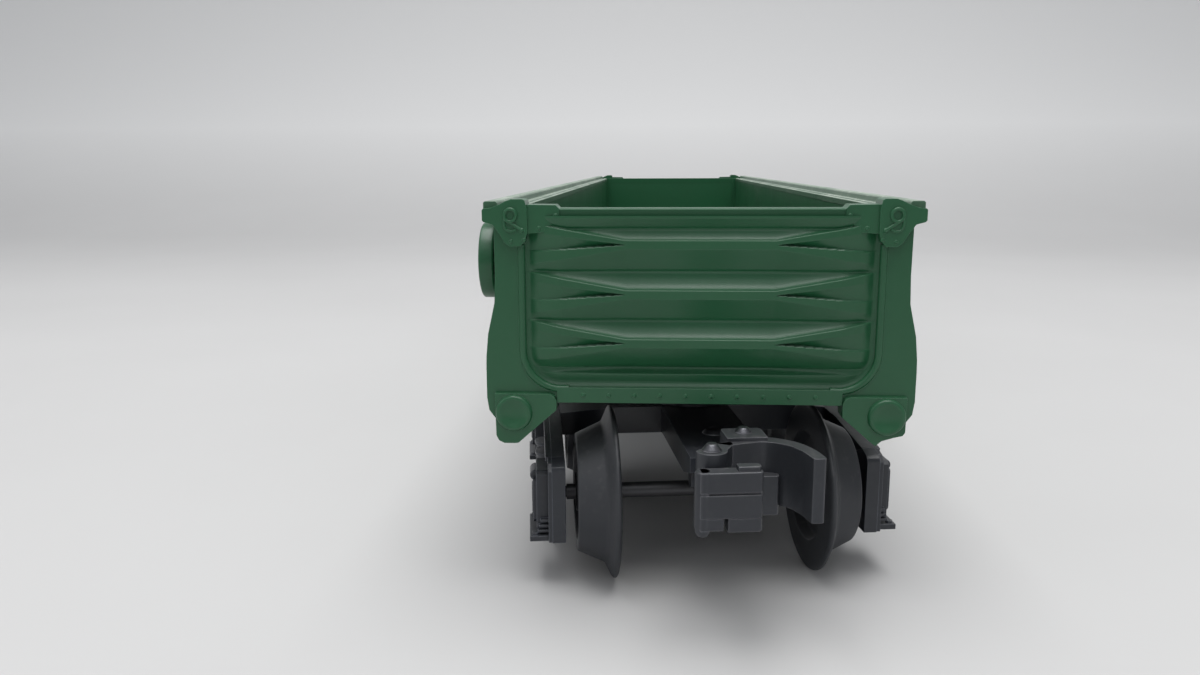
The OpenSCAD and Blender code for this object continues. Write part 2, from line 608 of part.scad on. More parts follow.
// Uncoupling lever under the shank with the round pad that a track magnet pulls down
module uncoupling_lever() color(black) difference() {
    union() {
        block([-2.7, pin_y + 4, lever_z - 0.9], [2.7, lever_y, lever_z - 0.1]);
        rod_x(-2.7, 2.7, 1.2, lever_y, lever_z);
        translate([0, pin_y + 8, lever_z - 2.2]) cylinder(r = 2.6, h = 1.4);
        translate([0, pin_y + 8, lever_z - 2.5]) cylinder(r = 1.2, h = 0.4);
    }
    rod_x(-3, 3, lever_pin_r + run_gap, lever_y, lever_z);
}
module lever_pin() color(steel) rod_x(-3.9, 3.9, lever_pin_r, lever_y, lever_z);

// One wheel set of a truck: which = -1 for the leading axle and 1 for the trailing one
module on_axle(which) {
    translate([0, which * half_base, axle_z]) children();
}
module left_wheel() mirror([1, 0, 0]) right_wheel();
module right_wheel() translate([wheel_x, 0, 0]) wheel();

// ---------------------------------------------------------------- nodes

body_shell();
underframe();
centre_sill();
crossbearers();
brake_gear();
body_bolster();  // front_body_bolster
rotate([0, 0, 180]) body_bolster();  // rear_body_bolster
frame_screws();
brake_wheel();
brake_wheel_pin();
place_truck(true) kingpin();  // front_kingpin
place_truck(true) swivel_washer();  // front_swivel_washer
place_truck(true) bolster();  // front_bolster
place_truck(true) left_sideframe();  // front_left_sideframe
place_truck(true) right_sideframe();  // front_right_sideframe
place_truck(true) sideframe_rivets();  // front_sideframe_rivets
place_truck(true) on_axle(-1) axle();  // front_lead_axle
place_truck(true) on_axle(-1) left_wheel();  // front_lead_left_wheel
place_truck(true) on_axle(-1) right_wheel();  // front_lead_right_wheel
place_truck(true) on_axle(1) axle();  // front_trail_axle
place_truck(true) on_axle(1) left_wheel();  // front_trail_left_wheel
place_truck(true) on_axle(1) right_wheel();  // front_trail_right_wheel
place_truck(true) coupler_body();  // front_coupler_body
place_truck(true) shank_rivets();  // front_shank_rivets
place_truck(true) head_rivet();  // front_head_rivet
place_truck(true) knuckle();  // front_knuckle
place_truck(true) knuckle_pin();  // front_knuckle_pin
place_truck(true) knuckle_spring();  // front_knuckle_spring
place_truck(true) uncoupling_lever();  // front_uncoupling_lever
place_truck(true) lever_pin();  // front_lever_pin
place_truck(false) kingpin();  // rear_kingpin
place_truck(false) swivel_washer();  // rear_swivel_washer
place_truck(false) bolster();  // rear_bolster
place_truck(false) left_sideframe();  // rear_left_sideframe
place_truck(false) right_sideframe();  // rear_right_sideframe
place_truck(false) sideframe_rivets();  // rear_sideframe_rivets
place_truck(false) on_axle(-1) axle();  // rear_lead_axle
place_truck(false) on_axle(-1) left_wheel();  // rear_lead_left_wheel
place_truck(false) on_axle(-1) right_wheel();  // rear_lead_right_wheel
place_truck(false) on_axle(1) axle();  // rear_trail_axle
place_truck(false) on_axle(1) left_wheel();  // rear_trail_left_wheel
place_truck(false) on_axle(1) right_wheel();  // rear_trail_right_wheel
place_truck(false) coupler_body();  // rear_coupler_body
place_truck(false) shank_rivets();  // rear_shank_rivets
place_truck(false) head_rivet();  // rear_head_rivet
place_truck(false) knuckle();  // rear_knuckle
place_truck(false) knuckle_pin();  // rear_knuckle_pin
place_truck(false) knuckle_spring();  // rear_knuckle_spring
place_truck(false) uncoupling_lever();  // rear_uncoupling_lever
place_truck(false) lever_pin();  // rear_lever_pin
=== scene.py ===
"""Finished surfaces of an O gauge gondola car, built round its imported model.

Sizes are in millimetres in the classes below and become metres when a piece is made.
The frame is the car's own: +Z up, the front end towards -Y, and the table at z = 0.
"""

import json
import logging
import math
from collections.abc import Callable, Iterable, Sequence
from dataclasses import dataclass, field
from enum import Enum

import bmesh
import bpy
from mathutils import Matrix, Vector


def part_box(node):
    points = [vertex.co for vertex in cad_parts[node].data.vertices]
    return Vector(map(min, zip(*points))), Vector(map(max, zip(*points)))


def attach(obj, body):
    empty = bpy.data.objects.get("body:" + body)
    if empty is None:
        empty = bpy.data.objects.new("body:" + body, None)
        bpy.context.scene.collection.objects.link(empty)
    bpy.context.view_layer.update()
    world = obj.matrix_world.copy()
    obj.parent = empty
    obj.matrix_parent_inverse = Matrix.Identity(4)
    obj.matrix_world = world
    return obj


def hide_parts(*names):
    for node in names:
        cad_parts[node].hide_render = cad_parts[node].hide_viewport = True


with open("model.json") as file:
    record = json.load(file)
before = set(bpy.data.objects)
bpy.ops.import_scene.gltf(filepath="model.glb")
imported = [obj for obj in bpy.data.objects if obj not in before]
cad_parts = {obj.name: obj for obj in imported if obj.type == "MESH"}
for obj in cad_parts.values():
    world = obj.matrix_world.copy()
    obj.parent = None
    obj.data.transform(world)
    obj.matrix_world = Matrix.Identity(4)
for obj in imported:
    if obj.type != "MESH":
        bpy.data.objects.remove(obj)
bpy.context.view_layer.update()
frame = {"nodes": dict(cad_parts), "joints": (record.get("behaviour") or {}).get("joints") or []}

MM = 0.001
WELD_DISTANCE = 0.00001
SHARP_ANGLE = 32.0
ON_AXIS = 1e-6
RIVET_ROOT = 0.1
HAND = {1: "right", -1: "left"}
LOG = logging.getLogger("gondola")

Point = Sequence[float]
Outline = Sequence[tuple[float, float]]
Colour = tuple[float, float, float]


class Axis(Enum):
    """The direction that an outline is extruded or a profile is turned along."""

    X = 0
    Y = 1
    Z = 2


# ------------------------------------------------------------------ finishes


def _group(
    name: str, inputs: dict[str, float], outputs: Sequence[str],
) -> tuple[bpy.types.NodeTree, bpy.types.Node, bpy.types.Node]:
    """Starts a shader node group with float inputs and outputs.

    Args:
        name: The group's name.
        inputs: Each input's name and default value.
        outputs: The outputs' names.

    Returns:
        The tree, its input node and its output node.
    """
    tree = bpy.data.node_groups.new(name, "ShaderNodeTree")
    for key, value in inputs.items():
        tree.interface.new_socket(
            name=key, in_out="INPUT", socket_type="NodeSocketFloat",
        ).default_value = value
    for key in outputs:
        tree.interface.new_socket(name=key, in_out="OUTPUT", socket_type="NodeSocketFloat")
    return tree, tree.nodes.new("NodeGroupInput"), tree.nodes.new("NodeGroupOutput")


def _node(
    tree: bpy.types.NodeTree, kind: str, links: dict[str | int, object] | None = None,
    **settings: object,
) -> bpy.types.Node:
    """Adds a node, sets its properties, and links or fills its inputs.

    Args:
        tree: The node tree.
        kind: The node's type name.
        links: Input name or number, to an output socket or a plain value.
        **settings: Properties of the node.

    Returns:
        The new node.
    """
    node = tree.nodes.new(kind)
    for key, value in settings.items():
        setattr(node, key, value)
    for key, value in (links or {}).items():
        if isinstance(value, bpy.types.NodeSocket):
            tree.links.new(value, node.inputs[key])
        else:
            node.inputs[key].default_value = value
    return node


def _math(tree: bpy.types.NodeTree, operation: str, *values: object) -> bpy.types.NodeSocket:
    """Adds a Math node on the given sockets or numbers and returns its result."""
    node = _node(tree, "ShaderNodeMath", dict(enumerate(values)), operation=operation)
    return node.outputs[0]


def _noise(
    tree: bpy.types.NodeTree, place: bpy.types.NodeSocket, scale: object, detail: float,
    roughness: float = 0.5,
) -> bpy.types.NodeSocket:
    """Adds a Noise texture at the given coordinates and returns its value."""
    links = {"Vector": place, "Scale": scale, "Detail": detail, "Roughness": roughness}
    return _node(tree, "ShaderNodeTexNoise", links).outputs["Fac"]


def _remap(
    tree: bpy.types.NodeTree, value: bpy.types.NodeSocket, low: float, high: float,
    to_low: float = 0.0, to_high: float = 1.0,
) -> bpy.types.NodeSocket:
    """Maps low to high onto to_low to to_high and returns the clamped result."""
    links = {"Value": value, "From Min": low, "From Max": high, "To Min": to_low, "To Max": to_high}
    return _node(tree, "ShaderNodeMapRange", links).outputs["Result"]


def _mix(
    tree: bpy.types.NodeTree, share: bpy.types.NodeSocket, first: object, second: object
) -> bpy.types.NodeSocket:
    """Mixes two colours, each a socket or a linear colour, and returns the result."""
    ends = [(*end, 1) if isinstance(end, tuple) else end for end in (first, second)]
    links = {0: share, 6: ends[0], 7: ends[1]}
    return _node(tree, "ShaderNodeMix", links, data_type="RGBA").outputs[2]


def _object_place(tree: bpy.types.NodeTree) -> bpy.types.NodeSocket:
    """Returns the coordinates that stay with the object."""
    return _node(tree, "ShaderNodeTexCoord").outputs["Object"]


def make_edge_wear_and_highlight() -> bpy.types.NodeTree:
    """Builds the group that finds the edges that handling has rubbed, and that paints a highlight
    along the edges of the green plastic.

    Returns:
        A group with a Mask output that is 1 along worn edges and along painted edge highlights.
    """
    tree, given, result = _group(
        "rubbed and highlit edges", {"Width": 0.0002, "Amount": 0.5, "Patch Scale": 180.0}, ["Mask"],
    )
    round_edge = _node(tree, "ShaderNodeBevel", {"Radius": given.outputs["Width"]}, samples=4)
    flat = _node(tree, "ShaderNodeNewGeometry")
    along = _node(
        tree, "ShaderNodeVectorMath", {0: round_edge.outputs[0], 1: flat.outputs["Normal"]},
        operation="DOT_PRODUCT",
    )
    edge = _math(tree, "SUBTRACT", 1.0, along.outputs["Value"])
    edge = _math(tree, "MULTIPLY", edge, 9.0)
    patches = _noise(tree, _object_place(tree), given.outputs["Patch Scale"], 3.0)
    uneven = _math(tree, "MULTIPLY", patches, 1.6)
    mask = _math(tree, "MULTIPLY", _math(tree, "MINIMUM", edge, 1.0), uneven)
    mask = _math(tree, "MULTIPLY", mask, given.outputs["Amount"])
    tree.links.new(_math(tree, "MINIMUM", mask, 1.0), result.inputs["Mask"])
    return tree


def make_grain() -> bpy.types.NodeTree:
    """Builds the group for the fine grain of a moulded or cast surface.

    Returns:
        A group with a Height output for bump and a Cloud output for slow changes.
    """
    tree, given, result = _group(
        "surface grain", {"Fine Scale": 1500.0, "Cloud Scale": 60.0}, ["Height", "Cloud"],
    )
    place = _object_place(tree)
    fine = _noise(tree, place, given.outputs["Fine Scale"], 4.0, 0.6)
    cloud = _noise(tree, place, given.outputs["Cloud Scale"], 5.0, 0.65)
    shares = (_math(tree, "MULTIPLY", fine, 0.6), _math(tree, "MULTIPLY", cloud, 0.4))
    tree.links.new(_math(tree, "ADD", *shares), result.inputs["Height"])
    tree.links.new(cloud, result.inputs["Cloud"])
    return tree


def make_dust_and_sheen() -> bpy.types.NodeTree:
    """Builds the group for thin dust that settles on faces that look up, which on the side chords
    paints a whitish sheen instead.

    Returns:
        A group with a Mask output.
    """
    tree, given, result = _group("settled dust", {"Amount": 0.3, "Speck Scale": 900.0}, ["Mask"])
    flat = _node(tree, "ShaderNodeNewGeometry")
    up = _node(tree, "ShaderNodeSeparateXYZ", {0: flat.outputs["Normal"]}).outputs["Z"]
    facing = _remap(tree, up, -0.2, 1.0)
    place = _object_place(tree)
    soft = _noise(tree, place, 90.0, 6.0)
    speck = _remap(tree, _noise(tree, place, given.outputs["Speck Scale"], 2.0), 0.56, 0.72)
    shares = (_math(tree, "MULTIPLY", soft, 0.9), _math(tree, "MULTIPLY", speck, 0.5))
    laid = _math(tree, "MULTIPLY", facing, _math(tree, "ADD", *shares))
    tree.links.new(_math(tree, "MULTIPLY", laid, given.outputs["Amount"]), result.inputs["Mask"])
    return tree


@dataclass(frozen=True)
class Finish:
    """One surface finish: its colours, gloss, grain, wear and dust, and the painted highlights and
    sheen that ride on them.

    Attributes:
        name: The material's name.
        slot: The record's material slot that it belongs to; not used.
        colour: Main colour, linear.
        cloud_colour: Colour that it drifts to in slow patches.
        worn_and_highlit_colour: Colour of rubbed edges, and on green plastic the colour of a
            painted edge highlight.
        dust_and_sheen_colour: Colour of the dust, and on the side chords the colour of a painted
            whitish sheen.
        rough: Lowest and highest roughness.
        metallic: Metallic value.
        wear_and_highlight: Strength of the rubbed edges and of the painted edge highlights.
        wear_and_highlight_width: Width of the rubbed edges and painted edge highlights in
            millimetres.
        dust_and_sheen: Strength of the dust, and of the painted sheen on the side chords.
        fine_scale: Scale of the fine grain.
        bump: Height of the grain in millimetres.
        specular: Specular level.
    """

    name: str
    slot: str
    colour: Colour
    cloud_colour: Colour
    worn_and_highlit_colour: Colour
    dust_and_sheen_colour: Colour = (0.32, 0.31, 0.29)
    rough: tuple[float, float] = (0.38, 0.5)
    metallic: float = 0.0
    wear_and_highlight: float = 0.5
    wear_and_highlight_width: float = 0.18
    dust_and_sheen: float = 0.15
    fine_scale: float = 1800.0
    bump: float = 0.01
    specular: float = 0.5

    def make(self, groups: dict[str, bpy.types.NodeTree]) -> bpy.types.Material:
        """Builds the material.

        Args:
            groups: The shared node groups by name.

        Returns:
            The material.
        """
        material = bpy.data.materials.new(self.name)
        material.use_nodes = True
        tree = material.node_tree
        shader = tree.nodes["Principled BSDF"]
        wear_and_highlight = _node(tree, "ShaderNodeGroup", node_tree=groups["wear_and_highlight"])
        wear_and_highlight.inputs["Width"].default_value = self.wear_and_highlight_width * MM
        wear_and_highlight.inputs["Amount"].default_value = self.wear_and_highlight
        grain = _node(tree, "ShaderNodeGroup", node_tree=groups["grain"])
        grain.inputs["Fine Scale"].default_value = self.fine_scale
        dust_and_sheen = _node(tree, "ShaderNodeGroup", node_tree=groups["dust_and_sheen"])
        dust_and_sheen.inputs["Amount"].default_value = self.dust_and_sheen
        cloud, laid = grain.outputs["Cloud"], dust_and_sheen.outputs["Mask"]
        base = _mix(tree, _remap(tree, cloud, 0.35, 0.65), self.colour, self.cloud_colour)
        # Rubbed edges on the castings; on the green plastic this paints a highlight along the
        # edges.
        worn_and_highlit = _mix(tree, wear_and_highlight.outputs["Mask"], base, self.worn_and_highlit_colour)
        # Dust on faces that look up; on the side chords this paints a whitish sheen on the upward
        # faces.
        tree.links.new(_mix(tree, laid, worn_and_highlit, self.dust_and_sheen_colour), shader.inputs["Base Color"])
        gloss = _remap(tree, cloud, 0.3, 0.7, *self.rough)
        rough = _math(tree, "ADD", gloss, _math(tree, "MULTIPLY", laid, 0.3))
        tree.links.new(rough, shader.inputs["Roughness"])
        shader.inputs["Metallic"].default_value = self.metallic
        shader.inputs["Specular IOR Level"].default_value = self.specular
        bump = _node(
            tree, "ShaderNodeBump",
            {"Strength": 1.0, "Distance": self.bump * MM, "Height": grain.outputs["Height"]},
        )
        tree.links.new(bump.outputs["Normal"], shader.inputs["Normal"])
        return material


GREEN, DEEP_GREEN = (0.0165, 0.104, 0.043), (0.0145, 0.094, 0.038)
# Its edge colour, lighter than the green, is a painted highlight along the edges.
MOULDED_GREEN = Finish(
    "moulded green plastic", "green_plastic", GREEN, DEEP_GREEN, (0.08, 0.21, 0.12), wear_and_highlight=0.3,
    dust_and_sheen=0.08, rough=(0.27, 0.36), specular=0.46,
)
# Side chords: the edge colour is a painted highlight, and the heavy pale dust colour is a painted
# whitish sheen on the upward faces.
PAINTED_SHEEN_GREEN = Finish(
    "green plastic with painted sheen", "green_plastic", GREEN, DEEP_GREEN, (0.16, 0.30, 0.20),
    (0.50, 0.54, 0.48), wear_and_highlight=0.6, dust_and_sheen=1.1, rough=(0.30, 0.40),
)
UNDERFRAME_BLACK = Finish(
    "underframe black plastic", "black_plastic", (0.016, 0.017, 0.021), (0.020, 0.021, 0.026),
    (0.07, 0.07, 0.08), rough=(0.4, 0.55),
)
TRUCK_BLACK = Finish(
    "truck black casting", "black_casting", (0.016, 0.019, 0.026), (0.022, 0.026, 0.034),
    (0.15, 0.16, 0.19), rough=(0.28, 0.42), wear_and_highlight=0.7, dust_and_sheen=0.15,
)
COUPLER_BLACK = Finish(
    "coupler black casting", "black_casting", (0.030, 0.033, 0.040), (0.040, 0.044, 0.052),
    (0.20, 0.20, 0.22), rough=(0.32, 0.5), metallic=0.35, wear_and_highlight=0.7, dust_and_sheen=0.2,
)
WHEEL_BLACK = Finish(
    "wheel black casting", "black_casting", (0.022, 0.025, 0.031), (0.030, 0.033, 0.039),
    (0.17, 0.17, 0.17), rough=(0.42, 0.58), metallic=0.2, wear_and_highlight=0.7, dust_and_sheen=0.18,
)
AXLE_STEEL = Finish(
    "darkened axle steel", "dark_steel", (0.05, 0.052, 0.058), (0.08, 0.08, 0.085), (0.3, 0.3, 0.3),
    rough=(0.3, 0.5), metallic=0.8, dust_and_sheen=0.2,
)
RIVET_STEEL = Finish(
    "rivet steel", "dark_steel", (0.07, 0.072, 0.082), (0.10, 0.10, 0.11), (0.4, 0.4, 0.42),
    rough=(0.3, 0.45), metallic=0.85, dust_and_sheen=0.1,
)
SCREW_STEEL = Finish(
    "bright screw steel", "bright_steel", (0.42, 0.42, 0.43), (0.5, 0.5, 0.5), (0.7, 0.7, 0.7),
    rough=(0.22, 0.36), metallic=1.0, dust_and_sheen=0.1,
)


class PaintShop:
    """Makes each finish once and puts it on pieces and on the car's own nodes."""

    def __init__(self) -> None:
        """Builds the shared node groups."""
        self.groups = {"wear_and_highlight": make_edge_wear_and_highlight(), "grain": make_grain(), "dust_and_sheen": make_dust_and_sheen()}
        self.made: dict[str, bpy.types.Material] = {}

    def material(self, finish: Finish) -> bpy.types.Material:
        """Returns the finish's material, building it the first time."""
        if finish.name not in self.made:
            self.made[finish.name] = finish.make(self.groups)
        return self.made[finish.name]

    def paint(self, piece: bpy.types.Object, finish: Finish) -> None:
        """Puts one finish on every slot of a piece.

        Args:
            piece: The object.
            finish: Its finish.
        """
        material = self.material(finish)
        if not piece.material_slots:
            piece.data.materials.append(material)
        for place in piece.material_slots:
            place.link = "OBJECT"
            place.material = material

    def dress(self, names: Iterable[str], finish: Finish, edge: float = 0.12) -> None:
        """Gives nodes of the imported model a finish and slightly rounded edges.

        Args:
            names: The nodes.
            finish: Their finish.
            edge: Radius of the rounding in millimetres.
        """
        for name in names:
            node = frame["nodes"][name]
            self.paint(node, finish)
            weld = node.modifiers.new("weld", "WELD")
            weld.merge_threshold = WELD_DISTANCE
            soften(node, edge)


def soften(piece: bpy.types.Object, edge: float) -> None:
    """Rounds a piece's edges and keeps its flat faces flat in shading.

    Args:
        piece: The object.
        edge: Radius in millimetres, or 0 to leave its edges as they are.
    """
    for face in piece.data.polygons:
        face.use_smooth = True
    if edge > 0:
        bevel = piece.modifiers.new("round edges", "BEVEL")
        bevel.width = edge * MM
        bevel.segments = 2
        bevel.limit_method = "ANGLE"
        bevel.angle_limit = math.radians(SHARP_ANGLE)
        bevel.harden_normals = True
        bevel.miter_outer = "MITER_ARC"
    normals = piece.modifiers.new("flat faces", "WEIGHTED_NORMAL")
    normals.keep_sharp = True


# ------------------------------------------------------------------ building pieces


class Mould:
    """Collects closed forms in millimetres and casts them as one piece."""

    def __init__(self) -> None:
        """Starts an empty mould."""
        self.form = bmesh.new()

    def _lift(self, axis: Axis, a: float, b: float, along: float) -> tuple[float, float, float]:
        """Returns the point at (a, b) in the plane across an axis, at a distance along it."""
        if axis is Axis.X:
            return (along, a, b)
        if axis is Axis.Y:
            return (a, along, b)
        return (a, b, along)

    def slab(self, outline: Outline, axis: Axis, low: float, high: float) -> None:
        """Extrudes an outline along an axis.

        Args:
            outline: Points in (y, z) for X, (x, z) for Y or (x, y) for Z.
            axis: Direction of the extrusion.
            low: Where it starts.
            high: Where it ends.
        """
        rings = [
            [self.form.verts.new(self._lift(axis, a, b, at)) for a, b in outline]
            for at in (low, high)
        ]
        count = len(outline)
        faces = [self.form.faces.new(rings[0]), self.form.faces.new(list(reversed(rings[1])))]
        for i in range(count):
            j = (i + 1) % count
            faces.append(self.form.faces.new((rings[0][i], rings[1][i], rings[1][j], rings[0][j])))
        bmesh.ops.recalc_face_normals(self.form, faces=faces)

    def block(self, low: Point, high: Point) -> None:
        """Adds a box between two corners."""
        self.slab(
            [(low[0], low[1]), (high[0], low[1]), (high[0], high[1]), (low[0], high[1])], Axis.Z,
            low[2], high[2],
        )

    def turned(self, profile: Outline, axis: Axis, centre: Point, steps: int = 48) -> None:
        """Turns a closed profile about an axis.

        Args:
            profile: (radius, distance along the axis) points; a radius of 0 closes on the axis.
            axis: The axis.
            centre: A point on it.
            steps: Steps round the axis.
        """
        rings = []
        for radius, along in profile:
            if radius <= ON_AXIS:
                rings.append([self._spin(axis, centre, 0.0, along, 0.0)])
            else:
                rings.append(
                    [
                        self._spin(axis, centre, radius, along, math.tau * k / steps)
                        for k in range(steps)
                    ]
                )
        faces = []
        closed = profile[0][0] > ON_AXIS and profile[-1][0] > ON_AXIS
        pairs = list(zip(rings, rings[1:]))
        if closed:
            pairs.append((rings[-1], rings[0]))
        for one, two in pairs:
            for k in range(steps):
                m = (k + 1) % steps
                corners = [
                    one[k % len(one)], one[m % len(one)], two[m % len(two)], two[k % len(two)],
                ]
                distinct = list(dict.fromkeys(corners))
                if len(distinct) >= 3:
                    faces.append(self.form.faces.new(distinct))
        bmesh.ops.recalc_face_normals(self.form, faces=faces)

    def _spin(
        self, axis: Axis, centre: Point, radius: float, along: float, angle: float,
    ) -> bmesh.types.BMVert:
        """Adds the vertex at an angle round an axis."""
        a, b = radius * math.cos(angle), radius * math.sin(angle)
        offset = self._lift(axis, a, b, along)
        return self.form.verts.new([centre[i] + offset[i] for i in range(3)])

    def rivet(self, place: Point, axis: Axis, side: int, radius: float, height: float) -> None:
        """Adds a domed rivet head standing on a face.

        Args:
            place: Centre of the rivet on the face.
            axis: Direction that it stands in.
            side: 1 or -1, which way along the axis.
            radius: Its radius.
            height: Its height.
        """
        dome = ((1.0, 0.0), (0.9, 0.5), (0.55, 0.88), (0.0, 1.0))
        rings = [(radius * wide, side * height * tall) for wide, tall in dome]
        root = -side * RIVET_ROOT
        self.turned([(0.0, root), (radius, root), *rings], axis, place, 14)

    def bead(
        self, path: Sequence[Point], radius: float, steps: int = 12, closed: bool = False,
    ) -> None:
        """Adds a round bead along a path.

        Args:
            path: Points of its middle line.
            radius: Its radius.
            steps: Steps round it.
            closed: Whether its end meets its start.
        """
        points = [Vector(p) for p in path]
        count = len(points)
        rings = []
        side = None
        for i, point in enumerate(points):
            before = points[i - 1] if i or closed else points[0]
            after = points[(i + 1) % count] if i < count - 1 or closed else points[-1]
            ahead = (after - before).normalized()
            if side is None:
                side = ahead.orthogonal().normalized()
            side = (side - ahead * side.dot(ahead)).normalized()
            up = ahead.cross(side)
            rings.append(
                [
                    self.form.verts.new(point + (side * math.cos(a) + up * math.sin(a)) * radius)
                    for a in (math.tau * k / steps for k in range(steps))
                ]
            )
        faces = []
        for i in range(count if closed else count - 1):
            one, two = rings[i], rings[(i + 1) % count]
            for k in range(steps):
                m = (k + 1) % steps
                faces.append(self.form.faces.new((one[k], one[m], two[m], two[k])))
        if not closed:
            faces += [self.form.faces.new(rings[0]), self.form.faces.new(list(reversed(rings[-1])))]
        bmesh.ops.recalc_face_normals(self.form, faces=faces)

    def sheet(
        self, across: Sequence[float], up: Sequence[float], point: Callable[[float, float], Point],
    ) -> None:
        """Adds an open curved sheet.

        Args:
            across: First parameter's values.
            up: Second parameter's values.
            point: Gives the point for a pair of values.
        """
        rows = [[self.form.verts.new(point(u, v)) for u in across] for v in up]
        for low, high in zip(rows, rows[1:]):
            for k in range(len(low) - 1):
                self.form.faces.new((low[k], low[k + 1], high[k + 1], high[k]))

    def cast(self, name: str, place: Matrix | None = None) -> bpy.types.Object:
        """Makes the object in metres.

        Args:
            name: The piece's name.
            place: Moves the form, in millimetres, to its place on the car.

        Returns:
            The object.
        """
        if place is not None:
            bmesh.ops.transform(self.form, matrix=place, verts=self.form.verts)
            if place.determinant() < 0:
                bmesh.ops.reverse_faces(self.form, faces=self.form.faces)
        bmesh.ops.scale(self.form, vec=(MM, MM, MM), verts=self.form.verts)
        mesh = bpy.data.meshes.new(name)
        self.form.to_mesh(mesh)
        self.form.free()
        piece = bpy.data.objects.new(name, mesh)
        bpy.context.scene.collection.objects.link(piece)
        return piece


class Workshop:
    """Finishes cast pieces: their edges, paint, body and the nodes that they stand for."""

    def __init__(self, paint: PaintShop) -> None:
        """Keeps the paint shop."""
        self.paint = paint

    def fit(
        self, piece: bpy.types.Object, finish: Finish, body: str, stands_for: Sequence[str] = (),
        edge: float = 0.1,
    ) -> bpy.types.Object:
        """Finishes one piece.

        Args:
            piece: The cast object.
            finish: Its finish.
            body: The body that it rides on.
            stands_for: Nodes that it replaces.
            edge: Radius of its rounded edges in millimetres.

        Returns:
            The piece.
        """
        self.paint.paint(piece, finish)
        soften(piece, edge)
        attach(piece, body)
        if stands_for:
            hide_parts(*stands_for)
        LOG.info("%s: %d faces on %s", piece.name, len(piece.data.polygons), body)
        return piece


def stepped(low: float, high: float, step: float) -> list[float]:
    """Returns evenly spaced values from low to high, at most a step apart."""
    count = max(1, math.ceil((high - low) / step))
    return [low + (high - low) * k / count for k in range(count + 1)]


def arc(a: float, b: float, radius: float, degrees: Iterable[float]) -> list[tuple[float, float]]:
    """Returns points on an arc about (a, b) at the given angles."""
    turns = [math.radians(angle) for angle in degrees]
    return [(a + radius * math.cos(turn), b + radius * math.sin(turn)) for turn in turns]


def shifted(points: Outline, a: float, b: float) -> list[tuple[float, float]]:
    """Returns an outline moved by (a, b)."""
    return [(a + u, b + v) for u, v in points]


def smooth(t: float) -> float:
    """Returns a soft step that rises from 0 at t = 0 to 1 at t = 1."""
    t = min(1.0, max(0.0, t))
    return t * t * (3 - 2 * t)


# ------------------------------------------------------------------ the moulded body


